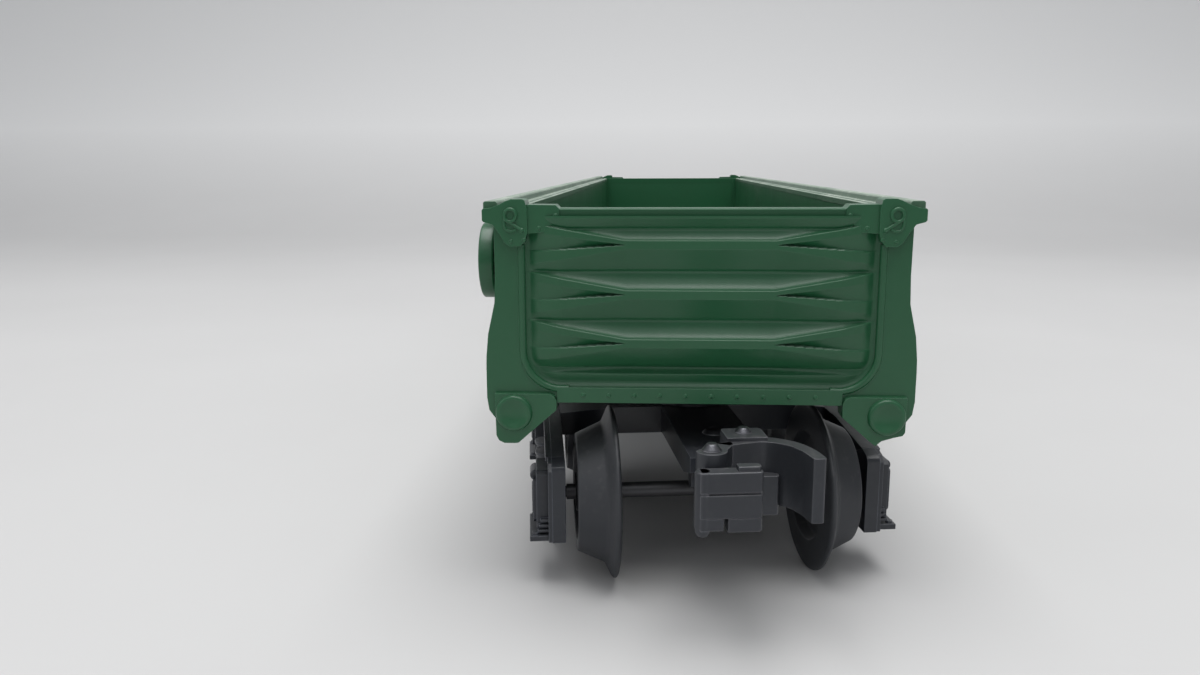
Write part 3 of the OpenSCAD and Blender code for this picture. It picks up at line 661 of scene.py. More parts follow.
@dataclass
class EndWall:
    """One corrugated end, drawn with its outer face at y = 0 and the load space behind it.

    Attributes:
        half_width: Half width of the car over its posts.
        sill: Height of the underside of the end sill.
        rail: Height of the top of the end rail.
        thickness: Depth of the wall.
        panel: Half width of the corrugations.
        recess: Half width of the recess that they lie in.
        bend: Radius of the recess's lower corners.
        band: Half height of a crest between two corrugations.
        pitch: Distance between crests.
        first_crest: Distance from the rail's top to the first crest.
        split: Where a crest splits into two arms round a dart.
        rise: Height of the upper arm's top edge over the crest's middle at the panel's side.
        fall: Depth of the lower arm's bottom edge under it there.
        dart_up: Rise of the dart's upper edge there.
        dart_down: Fall of the dart's lower edge there.
        line: Distance from a crest's middle down to the line where two slopes meet.
        depth: Depth of the corrugations at the middle.
        side_depth: Depth at the panel's side.
        bulge: How far the crests stand out at the middle.
        rivets: Rivets along the end sill.
        rivet_pitch: Distance between them.
        sill_height: Height of the end sill, over which the recess starts.
    """

    half_width: float
    sill: float
    rail: float
    thickness: float = 2.8
    panel: float = 21.6
    recess: float = 22.85
    bend: float = 4.9
    band: float = 0.55
    pitch: float = 6.38
    first_crest: float = 4.57
    split: float = 9.5
    rise: float = 2.7
    fall: float = 2.5
    dart_up: float = 1.55
    dart_down: float = 0.9
    line: float = 3.5
    depth: float = 1.45
    side_depth: float = 0.5
    bulge: float = 1.3
    rivets: int = 10
    rivet_pitch: float = 3.36
    sill_height: float = 2.1

    def __post_init__(self) -> None:
        """Works out the height of the recess's lower edge."""
        self.foot = self.sill + self.sill_height

    def _crests(self) -> list[float]:
        """Returns the heights of the three crests."""
        return [self.rail - self.first_crest - k * self.pitch for k in range(3)]

    def _spread(self, x: float) -> float:
        """Returns how far along the arms a place is, from 0 at the split to 1 at the side."""
        return min(1.0, max(0.0, (abs(x) - self.split) / (self.panel - self.split)))

    def _groove(self, z: float, high: float, low: float, line: float, depth: float) -> float:
        """Returns the depth between two crests: a slope down to the line, then a scoop up."""
        if z >= high or z <= low:
            return 0.0
        crease = 0.1 * math.exp(-(((z - line) / 0.17) ** 2))
        if z > line:
            t = (high - z) / max(high - line, 0.05)
            return depth * (0.85 * t + 0.15 * math.sin(t * math.pi / 2)) + crease
        t = (z - low) / max(line - low, 0.05)
        return depth * (
            0.45 * math.sin(t * math.pi / 2) + 0.55 * math.sqrt(1 - (1 - t) ** 2)
        ) + crease

    def _dart(self, z: float, crest: float, spread: float) -> float:
        """Returns the pocket's depth between two arms, deepest low down and near its tip."""
        top, bottom = crest + self.dart_up * spread, crest - self.dart_down * spread
        if spread <= 0 or not bottom < z < top:
            return 0.0
        fallen = (top - z) / (top - bottom)
        reach = min(1.0, spread / 0.1) * (0.95 * (1 - spread) ** 1.2 + 0.22)
        return reach * fallen**0.8

    def relief(self, x: float, z: float) -> float:
        """Returns how far the panel lies behind its crests.

        Args:
            x: Place across the panel.
            z: Height.

        Returns:
            Depth in millimetres.
        """
        spread = self._spread(x)
        crests = self._crests()
        deep = self.depth + (self.side_depth - self.depth) * spread
        rise = self.band + (self.rise - self.band) * spread
        fall = self.band + (self.fall - self.band) * spread
        last = crests[2] - self.line
        lines = [crests[0] + 2.0, *(c - self.line for c in crests)]
        highs = [self.rail - 1.2, *(c - fall for c in crests)]
        lows = [*(c + rise for c in crests), last - 0.8]
        found = 0.22 if z < last else 0.0
        for high, low, line in zip(highs, lows, lines):
            line = min(max(line, low + 0.1), high - 0.1)
            share = 0.6 if high > crests[0] else 1.0
            found = max(found, self._groove(z, high, low, line, deep * share))
        for crest in crests:
            found = max(found, self._dart(z, crest, spread))
        inside = self._inside(x, z)
        within = smooth((inside - 0.35) / 1.9)
        rim = 0.12 + 0.42 * smooth(inside / 0.8)
        return rim * (1 - within) + found * within - self.bulge * smooth((inside - 0.6) / 5.0)

    def _inside(self, x: float, z: float) -> float:
        """Returns how far a place lies inside the recess's rim."""
        across, up = abs(x) - (self.recess - self.bend), self.foot + self.bend - z
        if across > 0 and up > 0:
            return self.bend - math.hypot(across, up)
        return min(self.recess - abs(x), z - self.foot)

    def panel_sheet(self, form: Mould) -> None:
        """Adds the corrugated panel."""
        across = stepped(-self.recess - 0.25, self.recess + 0.25, 0.2)
        up = stepped(self.sill + 1.6, self.rail - 0.9, 0.09)
        form.sheet(across, up, lambda x, z: (x, 0.1 + self.relief(x, z), z))
        w = self.recess
        form.slab(
            [
                (-w, self.sill + 0.8), (w, self.sill + 0.8), (w, self.rail - 0.2),
                (-w, self.rail - 0.2),
            ],
            Axis.Y, self.thickness - 0.9, self.thickness - 0.03,
        )

    def rail_and_sill(self, form: Mould) -> None:
        """Adds the end rail, the end sill and its rivets."""
        w = self.half_width
        form.slab(
            [
                (-0.2, self.rail - 1.8), (-0.2, self.rail - 0.1), (0.05, self.rail),
                (self.thickness, self.rail), (self.thickness, self.rail - 1.8),
            ],
            Axis.X, -self.recess - 0.2, self.recess + 0.2,
        )
        form.slab(
            [
                (-0.4, self.sill + 0.15), (-0.4, self.sill + 2.2),
                (self.thickness - 0.1, self.sill + 2.2), (self.thickness - 0.1, self.sill),
            ],
            Axis.X, -(w - 9.4), w - 9.4,
        )
        for k in range(self.rivets):
            x = (k - (self.rivets - 1) / 2) * self.rivet_pitch
            form.rivet((x, -0.4, self.sill + 1.2), Axis.Y, -1, 0.33, 0.18)

    def corner_plate(self) -> list[tuple[float, float]]:
        """Returns the outline of the right-hand corner plate."""
        w, s = self.half_width, self.sill
        edge = arc(self.recess - self.bend, self.foot + self.bend, self.bend, range(0, -81, -10))
        wave = [
            (-1.45, 17), (-1.3, 13.4), (-0.8, 11.2), (-0.35, 9.2), (-0.05, 6.2), (0, 4.5), (0, 0.6),
            (-0.25, -1.1), (-1.05, -2.2),
        ]
        outer = [(self.recess, self.rail - 0.06), (w - 1.4, self.rail - 0.06), *shifted(wave, w, s)]
        return [*outer, (w - 9.4, s), (16.8, s), (16.8, s + 2.2), *reversed(edge)]

    def lug(self, sloped: bool) -> list[tuple[float, float]]:
        """Returns the outline of the right-hand corner lug.

        Args:
            sloped: Whether its foot is cut on a slope.
        """
        top = [(-8.45, 1.35), (-9.05, 1.05), (-9.35, 0.45)]
        if sloped:
            foot = [
                (-9.35, -1.4), (-5.2, -5.0), (-4.9, -5.15), (-4.2, -4.5), (-2.6, -4.0),
                (-1.5, -3.75), (-1.2, -3.3),
            ]
        else:
            foot = [
                (-9.35, -0.8), (-4.25, -5.35), (-3.9, -5.45), (-2.3, -5.45), (-1.6, -5.1),
                (-1.25, -4.4),
            ]
        return shifted([*top, *foot, (-1.15, 1.35)], self.half_width, self.sill)

    def corner(self, form: Mould) -> None:
        """Adds the right-hand corner plate, its bead, the corner casting and the tow eye."""
        w, r = self.half_width, self.rail
        form.slab(self.corner_plate(), Axis.Y, 0.0, self.thickness - 0.06)
        bow = arc(
            self.recess - self.bend, self.foot + self.bend, self.bend + 0.2, range(0, -85, -6),
        )
        middle = [(self.recess + 0.2, r - 4.6), (self.recess + 0.2, self.sill + 8.0), *bow]
        path = [(x, 0.14, z) for x, z in middle]
        form.bead([*path, (17.0, 0.1, self.sill + 1.98)], 0.5, 16)
        plate = [
            (-5.9, 0), (-5.6, 1.05), (-5.3, 1.2), (-3.9, 1.2), (-3.2, 0.95), (-2.4, 0.55),
            (-1.2, 0.1), (-0.25, 0), (-0.1, -0.2), (-0.1, -1.5), (-0.3, -1.7), (-1.4, -2.0),
            (-2.3, -3.2), (-2.9, -4.3), (-3.6, -4.8), (-4.9, -4.8), (-5.6, -4.2), (-5.9, -3.0),
        ]
        face = -0.9
        form.slab(shifted(plate, w, r), Axis.Y, face, self.thickness - 0.12)
        gusset = [
            (-10, -1.15), (-10, -0.05), (-9.5, 0.45), (-5.8, 0.5), (-5.8, -3.2), (-7.9, -3.05),
        ]
        step = -0.5
        form.slab(shifted(gusset, w, r), Axis.Y, step, self.thickness - 0.16)
        for x, z in shifted([(-9.5, -0.9), (-7.35, -2.5)], w, r):
            form.rivet((x, step, z), Axis.Y, -1, 0.3, 0.16)
        for x, z in shifted([(-3.8, -4.15), (-5.45, -3.95)], w, r):
            form.rivet((x, face, z), Axis.Y, -1, 0.28, 0.15)
        self.tow_eye(form, w - 3.75, r - 0.85)

    def tow_eye(self, form: Mould, x: float, z: float) -> None:
        """Adds a raised ring with the loop and the slanted foot that hang from it.

        Args:
            form: The mould.
            x: Place of the ring's centre.
            z: Its height.
        """
        ring = [
            (x + 0.74 * math.cos(a), -1.02, z + 0.8 * math.sin(a))
            for a in (math.tau * k / 24 for k in range(24))
        ]
        form.bead(ring, 0.24, 10, closed=True)
        loop = [
            (0.76, -0.1), (0.78, -0.8), (0.74, -1.4), (0.5, -1.85), (0.05, -2.02), (-0.4, -1.95),
            (-0.75, -1.72),
        ]
        form.bead([(x + a, -0.96, z + b) for a, b in loop], 0.19, 10)
        foot = [(0.3, -0.74), (-0.5, -1.25), (-1.1, -1.65), (-1.4, -1.86)]
        form.bead([(x + a, -0.98, z + b) for a, b in foot], 0.23, 10)
        form.rivet((x - 1.42, -0.9, z - 1.88), Axis.Y, -1, 0.34, 0.3)

    def pocket(self, form: Mould) -> None:
        """Adds the right-hand poling pocket, a dished boss on the lug."""
        x, z = self.half_width - 3.7, self.sill - 1.25
        dish = [
            (0, 0.4), (2.5, 0.4), (2.45, -0.85), (2.36, -1.1), (2.2, -1.24), (2.0, -1.28),
            (1.8, -1.23), (1.5, -1.1), (1.1, -0.96), (0.6, -0.88), (0, -0.86),
        ]
        form.turned(dish, Axis.Y, (x, 0, z), 56)

    def build(self, name: str, place: Matrix) -> tuple[bpy.types.Object, bpy.types.Object]:
        """Builds the end.

        Args:
            name: Which end it is.
            place: Its place on the car.

        Returns:
            The framing piece and the corrugated panel.
        """
        sheet = Mould()
        self.panel_sheet(sheet)
        form = Mould()
        self.rail_and_sill(form)
        for turn in (1, -1):
            half = Mould()
            self.corner(half)
            self.pocket(half)
            half.slab(self.lug(turn == 1), Axis.Y, -0.72, self.thickness - 0.4)
            if turn == -1:
                bmesh.ops.scale(half.form, vec=(-1, 1, 1), verts=half.form.verts)
                bmesh.ops.reverse_faces(half.form, faces=half.form.faces)
            spare = bpy.data.meshes.new("half")
            half.form.to_mesh(spare)
            form.form.from_mesh(spare)
            bpy.data.meshes.remove(spare)
            half.form.free()
        return form.cast(f"{name}_end_frame", place), sheet.cast(f"{name}_end_panel", place)


@dataclass
class CarBody:
    """The green moulded body.

    Attributes:
        shop: The workshop.
        low: Lowest corner of the body in millimetres.
        high: Highest corner.
        posts: Posts on each side.
        first_post: Distance from the end's face to the first post.
        floor_thickness: Thickness of the load floor.
    """

    shop: Workshop
    low: Vector = field(default_factory=lambda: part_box("body_shell")[0] / MM)
    high: Vector = field(default_factory=lambda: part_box("body_shell")[1] / MM)
    posts: int = 11
    first_post: float = 17.0
    floor_thickness: float = 1.8

    def __post_init__(self) -> None:
        """Works out the main heights and widths from the body's box."""
        self.half_width = self.high.x
        self.half_length = self.high.y - 1.5
        self.rail = self.high.z - 1.2
        self.sill = self.low.z + 5.4
        self.inner = self.half_width - 3.8
        self.wall = self.inner + 1.2
        self.floor = self.sill + 0.8

    def side(self, form: Mould, cap: Mould) -> None:
        """Adds the right-hand side wall with its sill, posts and rivets, and its chord.

        Args:
            form: The wall's mould.
            cap: The chord's mould.
        """
        w, r, s, inner, wall = self.half_width, self.rail, self.sill, self.inner, self.wall
        end = self.half_length - 0.2
        form.slab(
            [(inner, self.floor), (wall, self.floor), (wall, r - 1.0), (inner, r - 1.0)], Axis.Y,
            -end, end,
        )
        top = [
            (-0.3, -1.2), (-0.1, -1.0), (-0.1, 0.7), (-0.3, 0.9), (-1.7, 0.9), (-1.9, 0.7),
            (-2.0, 0), (-2.2, -0.1), (-2.8, -0.1), (-2.9, 0.1), (-3.3, 0.1), (-3.4, -0.1),
        ]
        cap.slab([(inner, r - 1.2), *shifted(top, w, r), (inner, r - 0.15)], Axis.Y, -end, end)
        sill = [
            (inner, self.floor), (inner, s), (w - 0.9, s), (w - 0.8, s + 0.1), (w - 0.8, s + 0.9),
            (wall, s + 1.1), (wall, self.floor + self.floor_thickness),
        ]
        form.slab(sill, Axis.Y, -end, end)
        first = self.half_length - self.first_post
        pitch = 2 * first / (self.posts - 1)
        for k in range(self.posts):
            self.post(form, -first + k * pitch)
        for y in stepped(-end + 3, end - 3, 3.4):
            form.rivet((w - 0.8, y, s + 0.5), Axis.X, 1, 0.28, 0.14)
            cap.rivet((w - 0.1, y, r - 0.55), Axis.X, 1, 0.26, 0.09)
        last = [
            (wall - 0.1, r - 1.1), (w - 1.5, r - 1.1), (w - 1.4, s + 13.4), (w - 0.6, s + 10.2),
            (w - 0.1, s + 6), (w - 0.1, s + 0.6), (wall - 0.1, s),
        ]
        for near, far in ((-end, -end + 2.6), (end - 2.6, end)):
            form.slab(last, Axis.Y, near, far)

    def post(self, form: Mould, y: float) -> None:
        """Adds one pressed side post with flanges and rivets.

        Args:
            form: The mould.
            y: Place of its middle.
        """
        w, r, s, wall = self.half_width, self.rail, self.sill, self.wall
        face = [
            (wall - 0.1, r - 1.1), (w - 1.5, r - 1.1), (w - 1.4, s + 13.4), (w - 0.7, s + 10.2),
            (w - 0.15, s + 6), (w - 0.15, s + 0.6), (w - 0.65, s + 0.05), (wall - 0.1, s + 0.05),
        ]
        form.slab(face, Axis.Y, y - 0.75, y + 0.75)
        proud = wall + 0.28
        flange = [(wall - 0.1, r - 1.1), (proud, r - 1.1), (proud, s + 1.0), (wall - 0.1, s + 1.0)]
        form.slab(flange, Axis.Y, y - 1.4, y + 1.4)
        for side in (-1.08, 1.08):
            for z in stepped(s + 2.6, r - 2.4, 2.7):
                form.rivet((proud, y + side, z), Axis.X, 1, 0.22, 0.12)

    def floor_pan(self) -> bpy.types.Object:
        """Builds the floor of the load space.

        Returns:
            The floor piece.
        """
        form = Mould()
        end = self.half_length - 1.0
        top = self.floor + self.floor_thickness
        form.block((-self.wall, -end, self.floor), (self.wall, end, top))
        return form.cast("load_floor_pan")

    def build(self) -> None:
        """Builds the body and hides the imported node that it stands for."""
        for turn, name in HAND.items():
            form, cap = Mould(), Mould()
            self.side(form, cap)
            hand = Matrix.Diagonal((turn, 1, 1, 1))
            side_wall = form.cast(f"{name}_side_wall", hand)
            self.shop.fit(side_wall, MOULDED_GREEN, "car", edge=0.14)
            # The side chords carry a painted whitish sheen and painted edge highlights.
            self.shop.fit(cap.cast(f"{name}_side_chord", hand), PAINTED_SHEEN_GREEN, "car", edge=0.14)
        self.shop.fit(self.floor_pan(), MOULDED_GREEN, "car")
        wall = EndWall(self.half_width, self.sill, self.rail)
        for name, turn in (("front", 0.0), ("rear", math.pi)):
            place = Matrix.Rotation(turn, 4, "Z") @ Matrix.Translation((0, -self.half_length, 0))
            frame_piece, panel = wall.build(name, place)
            self.shop.fit(frame_piece, MOULDED_GREEN, "car", ["body_shell"], edge=0.14)
            self.shop.fit(panel, MOULDED_GREEN, "car", edge=0.0)


@dataclass
class BrakeWheel:
    """The brake wheel on the left side, with a deep rim and dished spokes.

    Attributes:
        shop: The workshop.
        spokes: Number of spokes.
    """

    shop: Workshop
    spokes: int = 5

    def build(self) -> None:
        """Builds the wheel on its hinge and its pin's boss."""
        low, high = (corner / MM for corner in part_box("brake_wheel"))
        y, z = (low.y + high.y) / 2, (low.z + high.z) / 2
        r, outer = (high.z - low.z) / 2, low.x
        rim = [
            (-0.15, 0), (0, 0.2), (0, 1.75), (-0.15, 2.0), (-0.75, 2.0), (-0.9, 1.85), (-0.9, 0.15),
            (-0.75, 0),
        ]
        hub = [(0, 0.35), (1.15, 0.35), (1.4, 0.6), (1.4, 2.5), (0, 2.5)]
        nut = [(0, 0.0), (0.5, 0.0), (0.62, 0.12), (0.62, 0.5), (0, 0.5)]
        form = Mould()
        for profile, steps in ((shifted(rim, r, 0), 72), (hub, 32), (nut, 6)):
            form.turned(profile, Axis.X, (outer, y, z), steps)
        for k in range(self.spokes):
            a = math.tau * k / self.spokes
            path = []
            for t in (0.0, 0.25, 0.5, 0.75, 1.0):
                reach = 1.1 + (r - 1.75) * t
                sag = 0.9 + 0.45 * math.sin(t * math.pi)
                path.append((outer + sag, y + reach * math.cos(a), z + reach * math.sin(a)))
            form.bead(path, 0.36, 10)
        self.shop.fit(
            form.cast("brake_wheel_rim"), MOULDED_GREEN, "brake_wheel", ["brake_wheel"], edge=0.0,
        )


# ------------------------------------------------------------------ trucks


@dataclass
class Truck:
    """One truck, drawn with its pivot at the origin and its coupler towards -Y.

    Attributes:
        shop: The workshop.
        end: front or rear.
        wheel_back: Distance from the middle to a wheel's back.
        wheel_width: Width of a wheel.
        flange_height: Height of the flange over the tread.
        tread_drop: Fall of the radius from the flange's root to the tread's outer edge.
        frame_inner: Distance from the middle to a sideframe's inner face.
        frame_outer: Distance from the middle to its outer face.
        jaw_reach: Distance from an axle to the sideframe's end.
    """

    shop: Workshop
    end: str
    wheel_back: float = 13.7
    wheel_width: float = 5.8
    flange_height: float = 2.4
    tread_drop: float = 1.5
    frame_inner: float = 21.1
    frame_outer: float = 23.5
    jaw_reach: float = 5.2

    def __post_init__(self) -> None:
        """Finds the truck's place from its hinges."""
        joints = {j["name"]: j for j in frame["joints"]}
        pivot = joints[f"{self.end}_truck_swivel"]["pos_m"]
        roll = joints[f"{self.end}_lead_roll"]
        across = Vector(roll["axis"])
        yaw = math.atan2(across.y, across.x)
        self.place = Matrix.Translation(
            (pivot[0] / MM, pivot[1] / MM, 0)
        ) @ Matrix.Rotation(yaw, 4, "Z")
        self.half_base = (Vector(roll["pos_m"]).xy - Vector(pivot).xy).length / MM
        self.axle = roll["pos_m"][2] / MM
        self.jaw = self.half_base + self.jaw_reach
        knuckle = self.place.inverted() @ (Vector(joints[f"{self.end}_knuckle_open"]["pos_m"]) / MM)
        self.pin_x, self.pin_y = knuckle.x, knuckle.y

    def wheel(self, which: str, side: int) -> None:
        """Builds one wheel: flange, coned tread, dished back and hub.

        Args:
            which: lead or trail.
            side: 1 for the right-hand wheel, -1 for the left-hand one.
        """
        flange, back = self.axle, self.wheel_back
        root = flange - self.flange_height
        rim, face = root - self.tread_drop, back + self.wheel_width
        hollow = [(-2.9, 1.5), (-2.5, 1.35), (-2.0, 0.3), (-1.8, 0.2)]
        crown = [(-0.75, 0.2), (-0.3, 0.3), (-0.06, 0.48), (0, 0.65), (-0.06, 0.84), (-0.4, 1.08)]
        fillet = [(0.9, 1.6), (0.25, 1.9), (0, 2.3)]
        edge = [
            (0.06, -0.28), (0, -0.14), (-0.12, -0.04), (-0.3, 0), (-1.45, 0), (-1.6, -0.12),
            (-1.95, -1.0), (-2.2, -1.2),
        ]
        profile = [
            *shifted([(1.14, 0), (2.45, 0), (2.6, 0.12), (2.85, 1.3), (3.1, 1.5)], 0, back),
            *shifted(hollow, root, back), *shifted(crown, flange, back),
            *shifted(fillet, root, back), *shifted(edge, rim, face),
            *shifted([(3.3, -1.2), (3.05, -1.0), (2.7, -0.12), (2.5, 0), (1.14, 0)], 0, face),
        ]
        form = Mould()
        y = -self.half_base if which == "lead" else self.half_base
        form.turned([(r, side * x) for r, x in profile], Axis.X, (0, y, flange), 112)
        name = f"{self.end}_{which}_{HAND[side]}_wheel"
        piece = form.cast(f"{name}_turning", self.place)
        self.shop.fit(piece, WHEEL_BLACK, f"{self.end}_{which}_wheelset", [name], edge=0.0)

    def sideframe(self, side: int) -> None:
        """Builds one cast sideframe with journal boxes, flanges, springs and bolster end.

        Args:
            side: 1 for the right-hand one, -1 for the left-hand one.
        """
        form = Mould()
        a, out = self.axle, self.frame_outer
        self._frame_plate(form, self.frame_inner, out - 0.5)
        self._frame_flange(form, out)
        for y in (-self.half_base, self.half_base):
            self._journal_box(form, y, out)
        z = a + 6.0
        form.slab(
            [
                (-4.6, z - 1.9), (-4.6, z + 1.2), (-4.2, z + 1.5), (4.2, z + 1.5), (4.6, z + 1.2),
                (4.6, z - 1.9),
            ],
            Axis.X, out - 0.2, out + 1.6,
        )
        form.slab(
            [(-3.9, z - 1.4), (-3.9, z + 1.1), (3.9, z + 1.1), (3.9, z - 1.4)], Axis.X, out + 1.5,
            out + 2.0,
        )
        form.slab(
            [(-6.4, a - 6.8), (-6.4, a - 5.42), (6.4, a - 5.42), (6.4, a - 6.8)], Axis.X, out - 0.1,
            out + 1.2,
        )
        middle = self.frame_inner + 2.0
        for y in (-2.85, 2.85):
            self._spring(form, middle, y, a - 5.45, a + 1.35)
            cup = [(0, a + 0.9), (2.05, a + 0.9), (2.05, a + 1.4), (0, a + 1.4)]
            form.turned(cup, Axis.Z, (middle, y, 0), 24)
        name = f"{self.end}_{HAND[side]}_sideframe"
        piece = form.cast(f"{name}_casting", self.place @ Matrix.Diagonal((side, 1, 1, 1)))
        self.shop.fit(piece, TRUCK_BLACK, f"{self.end}_truck", [name], edge=0.16)

    def _frame_plate(self, form: Mould, low: float, high: float) -> None:
        """Adds the sideframe's web in pieces round its windows.

        Args:
            form: The mould.
            low: Its inner face.
            high: Its outer face.
        """
        a, h, jaw = self.axle, self.half_base, self.jaw
        form.slab(
            [
                (-jaw + 2.4, a + 6.1), (-9, a + 7.5), (9, a + 7.5), (jaw - 2.4, a + 6.1),
                (h - 5, a + 2.8), (7.4, a + 3.8), (5.6, a + 3.8), (5.6, a + 1.2), (-5.6, a + 1.2),
                (-5.6, a + 3.8), (-7.4, a + 3.8), (-h + 5, a + 2.8),
            ],
            Axis.X, low, high,
        )
        parts = (
            [
                (h - 5, 2.8), (jaw - 2.4, 6.1), (jaw - 0.9, 5.7), (jaw - 0.25, 5.3), (jaw, 4.7),
                (jaw, -5.6), (h - 3.6, -5.6), (h - 5, -4.6),
            ],
            [(5.6, 3.8), (7.4, 3.8), (7.4, -4.4), (5.6, -5.4)],
            [
                (5.6, -5.4), (7.4, -4.4), (h - 5, -1), (h - 5, -4.6), (7.4, -7.8), (0, -7.8),
                (0, -5.4),
            ],
        )
        for s in (-1, 1):
            for outline in parts:
                form.slab([(s * y, a + z) for y, z in outline], Axis.X, low, high)

    def _frame_flange(self, form: Mould, out: float) -> None:
        """Adds the raised flanges along the top chord, the jaws and the tension members."""
        a, h, jaw = self.axle, self.half_base, self.jaw
        members = (
            ([(jaw - 2.4, 6.1), (9, 7.5), (0, 7.5), (0, 6.8), (8.9, 6.8), (jaw - 2.5, 5.4)], 0.3),
            (
                [
                    (jaw, 4.7), (jaw - 0.9, 5.7), (jaw - 2.5, 6.1), (jaw - 2.4, 5.4),
                    (jaw - 1.2, 5.1), (jaw - 0.7, 4.5), (jaw - 0.7, -5.5), (jaw, -5.5),
                ],
                0.0,
            ),
            (
                [(h - 4.6, -4.7), (7.4, -7.8), (0, -7.8), (0, -7.1), (7.2, -7.1), (h - 4.8, -4.0)],
                0.3,
            ),
            ([(5.7, 3.6), (6.3, 3.6), (6.3, -4.8), (5.7, -5.2)], 0.2),
            ([(7.5, -4.3), (h - 5, -0.9), (h - 5, -1.5), (7.7, -4.9)], 0.2),
            ([(7.5, 3.7), (h - 5, 2.7), (h - 5, 3.3), (7.6, 4.3)], 0.2),
        )
        for s in (-1, 1):
            for outline, proud in members:
                form.slab([(s * y, a + z) for y, z in outline], Axis.X, out - 0.6, out + proud)

    def _journal_box(self, form: Mould, y: float, out: float) -> None:
        """Adds a journal box with its sloped lid, hinge, bolts, ribs and foot.

        Args:
            form: The mould.
            y: Place of the journal.
            out: Outer face of the sideframe.
        """
        a = self.axle
        box = out + 2.2
        form.slab(
            [
                (y - 3.2, a - 4.4), (y - 3.2, a + 3.7), (y - 2.7, a + 4.2), (y + 2.7, a + 4.2),
                (y + 3.2, a + 3.7), (y + 3.2, a - 4.4),
            ],
            Axis.X, out - 0.6, box - 0.6,
        )
        lid = [
            (y - 2.6, a - 3.0), (y - 2.1, a - 3.5), (y + 2.1, a - 3.5), (y + 2.6, a - 3.0),
            (y + 2.6, a + 2.6), (y + 2.3, a + 2.9), (y - 2.3, a + 2.9), (y - 2.6, a + 2.6),
        ]
        form.slab(lid, Axis.X, box - 0.7, box - 0.12)
        form.slab(
            [(y - 1.3, a - 2.5), (y + 1.3, a - 2.5), (y + 1.0, a + 1.4), (y - 1.0, a + 1.4)],
            Axis.X, box - 0.2, box,
        )
        form.turned(
            [
                (0, y - 1.7), (0.72, y - 1.7), (0.8, y - 1.5), (0.8, y + 1.5), (0.72, y + 1.7),
                (0, y + 1.7),
            ],
            Axis.Y, (box - 0.55, 0, a + 3.15), 18,
        )
        form.slab(
            [(y - 4.3, a - 5.6), (y - 4.3, a - 4.8), (y + 4.3, a - 4.8), (y + 4.3, a - 5.6)],
            Axis.X, out - 2.3, box + 0.4,
        )
        for k in range(3):
            z = a - 4.5 + k * 0.75
            form.slab(
                [(y - 3.9, z), (y - 3.9, z + 0.4), (y + 3.9, z + 0.4), (y + 3.9, z)], Axis.X,
                out - 0.2, out + 1.5 - 0.2 * k,
            )
        for s in (-1, 1):
            form.turned(
                [(0, a - 4.9), (0.55, a - 4.9), (0.55, a - 4.4), (0, a - 4.4)], Axis.Z,
                (box - 0.4, y + s * 3.6, 0), 6,
            )

    def _spring(self, form: Mould, x: float, y: float, low: float, high: float) -> None:
        """Adds a coil spring as one wound bar round a dark core.

        Args:
            form: The mould.
            x: Place of its middle.
            y: Place of its middle.
            low: Its foot.
            high: Its head.
        """
        turns, steps = 5, 22
        count = turns * steps
        coil = arc(x, y, 1.5, [360 * k / steps for k in range(count + 1)])
        path = [
            (u, v, low + 0.45 + (high - low - 0.9) * k / count) for k, (u, v) in enumerate(coil)
        ]
        form.bead(path, 0.46, 8)
        form.turned([(0, low), (0.95, low), (0.95, high), (0, high)], Axis.Z, (x, y, 0), 16)

    def build(self) -> None:
        """Builds and dresses the whole truck."""
        for which in ("lead", "trail"):
            for side in (-1, 1):
                self.wheel(which, side)
        for side in (-1, 1):
            self.sideframe(side)
        self.dress(("bolster",), TRUCK_BLACK, 0.16)
        self.dress(("lead_axle", "trail_axle"), AXLE_STEEL, 0.08)
        self.dress(
            ("sideframe_rivets", "shank_rivets", "head_rivet", "lever_pin"), RIVET_STEEL, 0.12,
        )
        self.dress(("knuckle_spring", "kingpin", "swivel_washer"), SCREW_STEEL, 0.06)
        Coupler(self).build()

    def dress(self, names: Sequence[str], finish: Finish, edge: float) -> None:
        """Dresses nodes that carry this truck's name in front."""
        self.shop.paint.dress([f"{self.end}_{name}" for name in names], finish, edge)


